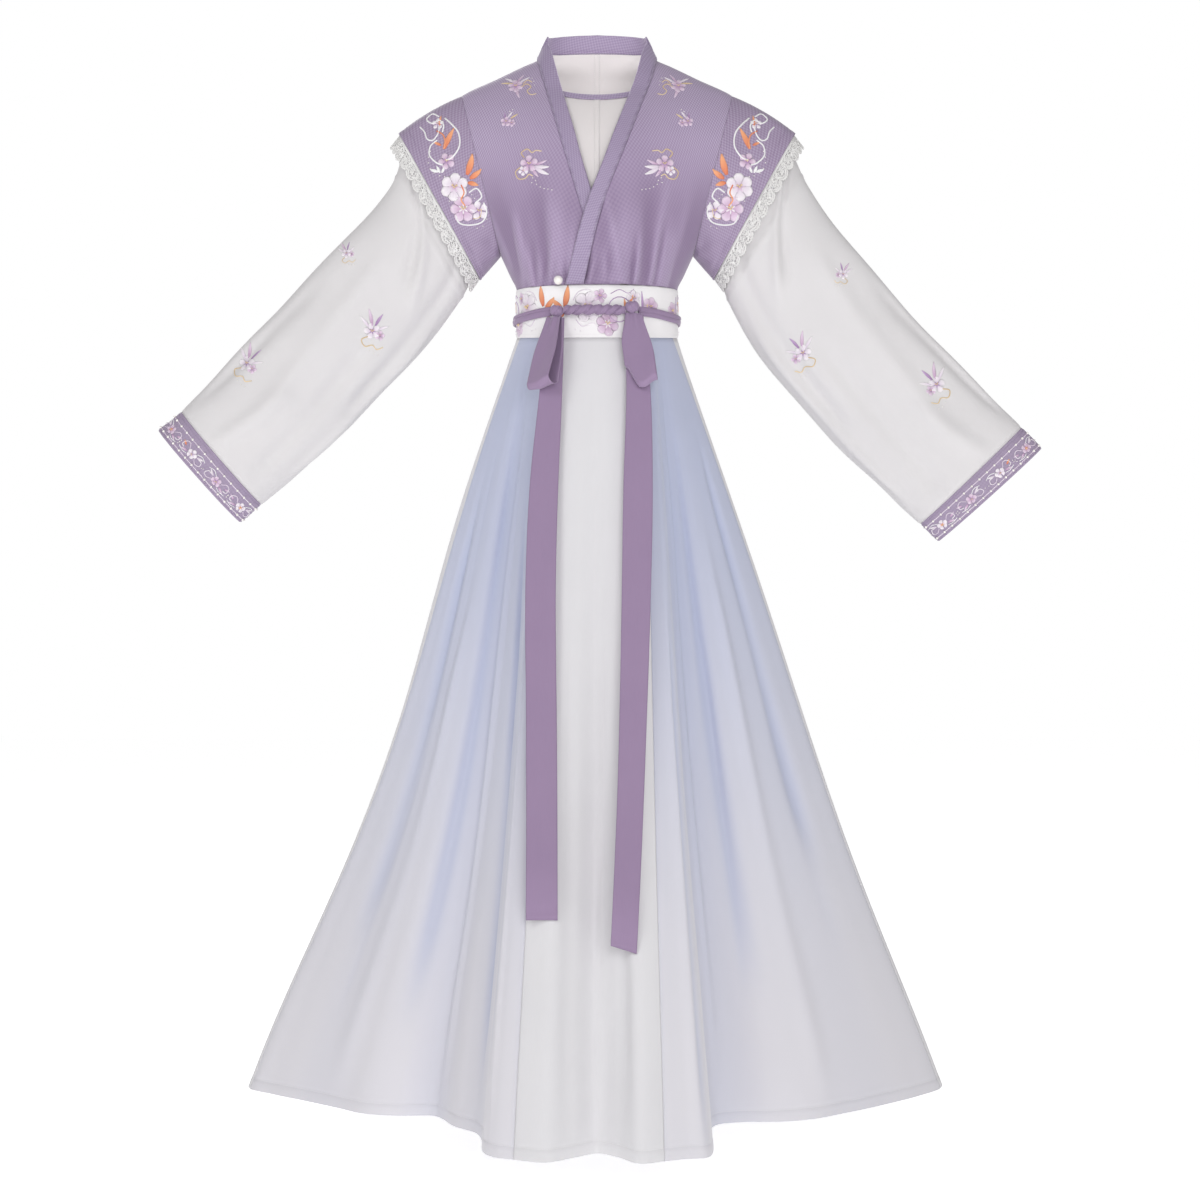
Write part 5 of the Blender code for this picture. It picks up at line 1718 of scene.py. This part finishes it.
def raised_marks(name, marks, surface):
    """One mesh of stitched shapes. surface turns an array of flat places into points and outward normals."""
    places = np.concatenate([line for line, _, _, _ in marks])
    points, normals = surface(places)
    around = np.arange(8) * 2 * math.pi / 8
    all_points, faces, slots, alongs, uvs = [], [], [], [], []
    start, used = 0, 0
    for line, halves, thick, tone in marks:
        spots, ups = points[used : used + len(line)], normals[used : used + len(line)]
        used += len(line)
        if len(line) == 1:
            side = unit(np.cross(ups[0], [0.3, 0.2, 0.9]))
            ahead = np.cross(side, ups[0])
            polar = np.linspace(0.25, math.pi - 0.25, 5)
            centre = spots[0] + ups[0] * halves[0] * 0.7
            outline = np.cos(around)[None, :, None] * side + np.sin(around)[None, :, None] * ahead
            ball = np.cos(polar)[:, None, None] * ups[0] + np.sin(polar)[:, None, None] * outline
            rings = centre + halves[0] * ball
            along = np.full((5, 8), 0.6)
        else:
            ahead = unit(np.gradient(spots, axis=0))
            side = unit(np.cross(ahead, ups))
            rise = 0.12 + thick * np.minimum(halves / 0.5, 1)[:, None] * np.sin(around)
            rings = spots[:, None] + side[:, None] * (halves[:, None] * np.cos(around))[..., None]
            rings = rings + ups[:, None] * rise[..., None]
            along = np.repeat(np.linspace(0, 1, len(line))[:, None], 8, axis=1)
        count = len(rings)
        new = tube_grid(rings)
        faces += [[start + corner for corner in face] for face in new]
        slots += [TONES.index(tone)] * len(new)
        all_points.append(rings.reshape(-1, 3))
        alongs.append(along.ravel())
        distance = np.linspace(0, 0.01 * count, count)
        flat = np.stack(np.meshgrid(distance, around * 0.0012, indexing="ij"), axis=-1).reshape(-1, 2)
        uvs += [flat[corner] for face in new for corner in face]
        start += count * 8
    piece = linked_mesh(name, np.concatenate(all_points), faces, uvs, thread_materials)
    piece.data.polygons.foreach_set("material_index", slots)
    mark_points(piece, "along", np.concatenate(alongs))


# The motifs, each about its own middle.
chest_spray = (
    flower(-3, 3, 9, 20)
    + flower(-9, -4, 5, 50, outer="pale")
    + leaf(3, 0, -12, 15, 4.2, "pale", 0.3)
    + leaf(3, -1, -38, 17, 4.4, "pale", 0.35)
    + leaf(4, 2, 14, 12, 3.2, "lilac", 0.2)
    + leaf(1, -3, -62, 10, 3, "lilac", 0.3)
    + curl([(-8, 10), (-11, 15), (-5, 19), (0, 15), (4, 17), (10, 16)], "gold", 0.55)
    + curl([(-12, 0), (-17, -5), (-14, -12), (-7, -12), (-3, -8), (1, -10)], "gold", 0.55)
    + dots([(1, -12), (4, -15), (0, -17), (5, -19), (9, -22), (13, -24), (17, -25), (21, -26)], 0.85)
)
small_bloom = (
    flower(-2, -2, 5.5, 10)
    + flower(4, -4, 4, 60)
    + leaf(0, 2, 62, 8, 2.4, "pale", -0.3)
    + leaf(3, 1, 40, 9, 2.2, "gold", -0.3)
    + leaf(-3, 2, 95, 7, 2.2, "violet")
    + dots([(2, 9), (5, 11)], 0.8)
)
shoulder_spray = (
    flower(0, 0, 8, -20, count=6)
    + leaf(-3, 3, 165, 13, 3, "gold", 0.3)
    + leaf(-2, 5, 140, 12, 3, "pale", 0.3)
    + leaf(2, 5, 60, 12, 2.8, "lilac", -0.3)
    + leaf(4, 4, 35, 13, 3, "pale", -0.2)
    + leaf(1, -4, -80, 12, 3.4, "lilac", 0.3)
    + curl([(6, -2), (12, 2), (17, -2), (13, -7), (17, -12), (23, -11)], "gold", 0.55)
    + curl([(8, 2), (13, 7), (18, 4)], "gold", 0.5)
    + dots([(20, 5), (18, 9), (21, 0)], 0.7)
)
cap_scroll = (
    curl([(-2, 62), (-9, 66), (-15, 60), (-9, 55), (-2, 58), (3, 52), (2, 44)], "white", 0.85)
    + curl([(-22, 52), (-17, 46), (-14, 38), (-8, 36), (-3, 42), (-1, 50)], "white", 0.8)
    + curl([(4, 60), (12, 52), (19, 42), (20, 28), (13, 17), (6, 14)], "white", 0.9)
    + curl([(-3, 36), (-10, 30), (-11, 20), (-4, 12), (3, 9)], "white", 0.8)
    + curl([(-4, 46), (3, 41), (5, 33), (4, 26)], "orange", 0.8)
    + leaf(4, 26, 70, 24, 6.2, "orange", -0.2)
    + leaf(-1, 50, 95, 13, 3.6, "orange", -0.4)
    + leaf(1, 30, 150, 9, 3, "orange", 0.2)
    + flower(-3, 54, 6, 15, outer="pale")
    + flower(7, 13, 8.5, 40)
    + leaf(-2, 2, 160, 9, 3.4, "white")
    + leaf(0, 1, 115, 8, 3.2, "white")
    + leaf(2, 1, 65, 7, 3.0, "white")
    + dots([(-10, 24), (-12, 18), (-12, 12), (-10, 6), (-6, 1), (0, -2), (5, -3)], 0.85)
    + flower(15, -14, 14, 25, count=6, outer="pale", inner="lilac")
    + leaf(28, -2, 68, 22, 7.5, "orange", 0.3)
    + leaf(31, -6, 30, 15, 6, "orange", 0.3)
    + leaf(29, -10, -10, 11, 5, "orange", -0.2)
    + curl([(22, -12), (25, -20), (22, -27), (26, -33)], "orange", 0.85)
    + flower(24, -36, 13, 0, count=6, outer="lilac", inner="pale")
    + flower(40, -38, 9, 30, outer="pale")
    + curl([(30, -20), (38, -16), (43, -24), (37, -30)], "white", 0.8)
    + curl([(16, -42), (20, -50), (31, -52), (43, -49), (48, -40), (45, -30)], "white", 0.8)
    + curl([(34, -46), (41, -44), (43, -36)], "gold", 0.5)
    + dots([(33, -22), (36, -26), (48, -46), (44, -53), (38, -55), (12, -34), (10, -28)], 0.85)
)
sleeve_spray = (
    flower(0, 0, 7.5, 30, outer="pale")
    + flower(7, -4, 4.5, 0)
    + leaf(0, 5, 95, 16, 3.4, "lilac", 0.25)
    + leaf(-3, 4, 125, 13, 3, "pale", 0.2)
    + leaf(3, 5, 62, 13, 3, "violet", -0.2)
    + leaf(5, 1, 25, 11, 2.6, "pale", -0.2)
    + curl([(-4, -5), (-10, -8), (-7, -14), (0, -13), (4, -17), (10, -15)], "gold", 0.5)
    + dots([(-3, -18), (1, -21), (5, -22)], 0.8)
)

for side, own in SIGN.items():
    flip = side == "left"
    front = front_right if side == "right" else front_left
    marks = moved(chest_spray, own * 84, -152, 1.25, 0, flip)
    marks += moved(small_bloom, own * 116, -86, 1.25, 0, flip)
    marks += moved(shoulder_spray, own * 107, -36, 1.2, 0, flip)
    raised_marks(f"embroidery_chest_{side}", marks, seen_from_front(front))
    cap = bpy.data.objects[f"dressed_cap_sleeve_{side}"]
    marks = moved(cap_scroll, own * 206, -153, 1.28, 0, flip)
    raised_marks(f"embroidery_cap_{side}", marks, seen_from_front(cap, front))
for side, places in (
    ("right", ((-331, -254, 0.85, 20), (-296, -358, 1.4, 0), (-462, -400, 1.4, -15))),
    ("left", ((325, -282, 0.85, -20), (272, -386, 1.4, 10), (448, -428, 1.45, 15))),
):
    marks = []
    for x, z, size, turn in places:
        marks += moved(sleeve_spray, x, z, size, turn, side == "left")
    sleeve = bpy.data.objects[f"dressed_sleeve_{side}"]
    raised_marks(f"embroidery_sleeve_{side}", marks, seen_from_front(sleeve))


def on_ring(points, outwards, shares):
    """A surface for marks given by millimetres round a ring and a share across it, and the ring's length."""
    closed = np.concatenate([points, points[:1]])
    normals = grid_normals(points, True) * outwards
    normals = np.concatenate([normals, normals[:1]])
    steps = np.linalg.norm(np.diff(closed, axis=0), axis=2).mean(axis=1)
    around = np.concatenate([[0], np.cumsum(steps)])

    def surface(places):
        u = np.interp(places[:, 0] % around[-1], around, np.arange(len(around)))
        v = np.interp(places[:, 1], shares, np.arange(len(shares)))
        i = np.floor(u).astype(int).clip(0, len(around) - 2)
        j = np.floor(v).astype(int).clip(0, len(shares) - 2)
        f, g = (u - i)[:, None], (v - j)[:, None]

        def between(values):
            near, far = (values[i, row] * (1 - f) + values[i + 1, row] * f for row in (j, j + 1))
            return near * (1 - g) + far * g

        return between(closed), unit(between(normals))

    return surface, around[-1]


CUFF_BEADS = 30
CUFF_VINES = 8
CUFF_WIDTH = 38.0
# Middle of the vine across a cuff, which is 0 at its seam and 1 at its open end, and its two corded lines
CUFF_MIDDLE = 0.505
CUFF_CORDS = (0.17, 0.84)
for side, own in SIGN.items():
    surface, length = on_ring(cuff_grids[side], own, np.array(CUFF_STATIONS) - CUFF_STATIONS[0])
    marks = []
    for across in CUFF_CORDS:
        around = np.linspace(0, length, 150)
        line = np.stack([around, across + 0 * around], axis=1)
        marks.append((line, np.full(150, 0.7), 0.6, "pale"))
        for n in range(CUFF_BEADS):
            marks += dot(length * (n + 0.5) / CUFF_BEADS, across, 1.8)
    rng = np.random.default_rng(5)
    for n in range(CUFF_VINES):
        middle = length * (n + 0.5) / CUFF_VINES
        outer, inner = "pale" if n % 2 else "lilac", "violet" if n % 3 else "orange"
        vine = flower(0, 0, 7.5, 15 + 40 * n, outer=outer, inner=inner)
        vine += curl([(-7, 2), (-13, 7), (-19, 4), (-17, -3), (-12, -3)], "pale", 0.6)
        vine += curl([(7, -2), (13, -8), (19, -6), (20, 1), (15, 3)], "pale", 0.6)
        vine += curl([(-20, -7), (-12, -9), (-5, -6)], "white", 0.5)
        vine += curl([(6, 7), (13, 9), (21, 7)], "white", 0.5)
        vine += leaf(8, 3, 20, 10, 3.2, "lilac", 0.3) + leaf(-8, -3, 200, 10, 3.2, "pale", 0.3)
        vine += leaf(15, -2, -20, 8, 2.6, "orange" if n % 3 == 1 else "lilac")
        vine += dots([(24, 0), (24, 4), (-23, 2)], 0.8)
        for line, halves, thick, tone in moved(vine, 0, 0, 1.0, rng.uniform(-6, 6), n % 2 == 1):
            line = np.stack([line[:, 0] + middle, CUFF_MIDDLE + line[:, 1] / CUFF_WIDTH], axis=1)
            marks.append((line, halves, thick, tone))
    raised_marks(f"embroidery_cuff_{side}", marks, surface)

surface, length = on_ring(band_points, -1, BAND_SHARES)
BAND_WIDTH = 64.0
BAND_MIDDLE = 0.48
# Where the waistband's motifs are centred within their quarters, plain ones and mirrored ones
MOTIF_SHIFTS = (6, 33)
band_motif = (
    flower(-19, 4, 19, 10, count=6, outer="pale", inner="lilac")
    + flower(8, -17, 15, 40, count=6, outer="lilac", inner="pale")
    + flower(-2, 17, 9, 0, outer="lilac")
    + flower(44, 15, 10, 30, outer="pale", inner="violet")
    + flower(70, 5, 12, 15, count=6, outer="lilac", inner="violet")
    + leaf(-50, 4, 75, 27, 9, "orange", 0.2)
    + leaf(-53, 1, 145, 19, 8, "orange", -0.3)
    + leaf(-50, -3, 220, 12, 5, "orange")
    + leaf(36, 4, 55, 19, 4.8, "orange", 0.5)
    + leaf(33, 2, 105, 12, 3.4, "orange", -0.2)
    + ring_curl(24, 0, 17, 20, 340, "violet", 0.6)
    + ring_curl(44, -6, 12, 60, 300, "pale", 0.6)
    + curl([(-38, 12), (-31, 22), (-18, 25), (-9, 20)], "pale", 0.6)
    + curl([(-34, -12), (-25, -20), (-11, -16), (-3, -24)], "pale", 0.6)
    + curl([(12, 20), (24, 25), (36, 21), (44, 26)], "violet", 0.5)
    + leaf(58, -4, 92, 28, 4, "violet", 0.1)
    + leaf(54, -6, 100, 20, 3.4, "lilac", 0.2)
    + leaf(62, -6, 80, 18, 3.4, "gold", -0.2)
    + dots(
        [(14, -26), (21, -24), (28, -28), (35, -24), (42, -27), (9, -29), (-28, -26), (-35, -24)], 0.8, "pale"
    )
)
marks = []
for n, turn in enumerate((0, 3, -3, 2)):
    middle = length * n / 4 + MOTIF_SHIFTS[n % 2]
    for line, halves, thick, tone in moved(band_motif, 0, 0, 0.98, turn, n % 2 == 1):
        line = np.stack([line[:, 0] + middle, BAND_MIDDLE - line[:, 1] / BAND_WIDTH], axis=1)
        marks.append((line, halves, thick * 0.8, tone))
raised_marks("embroidery_waistband", marks, surface)
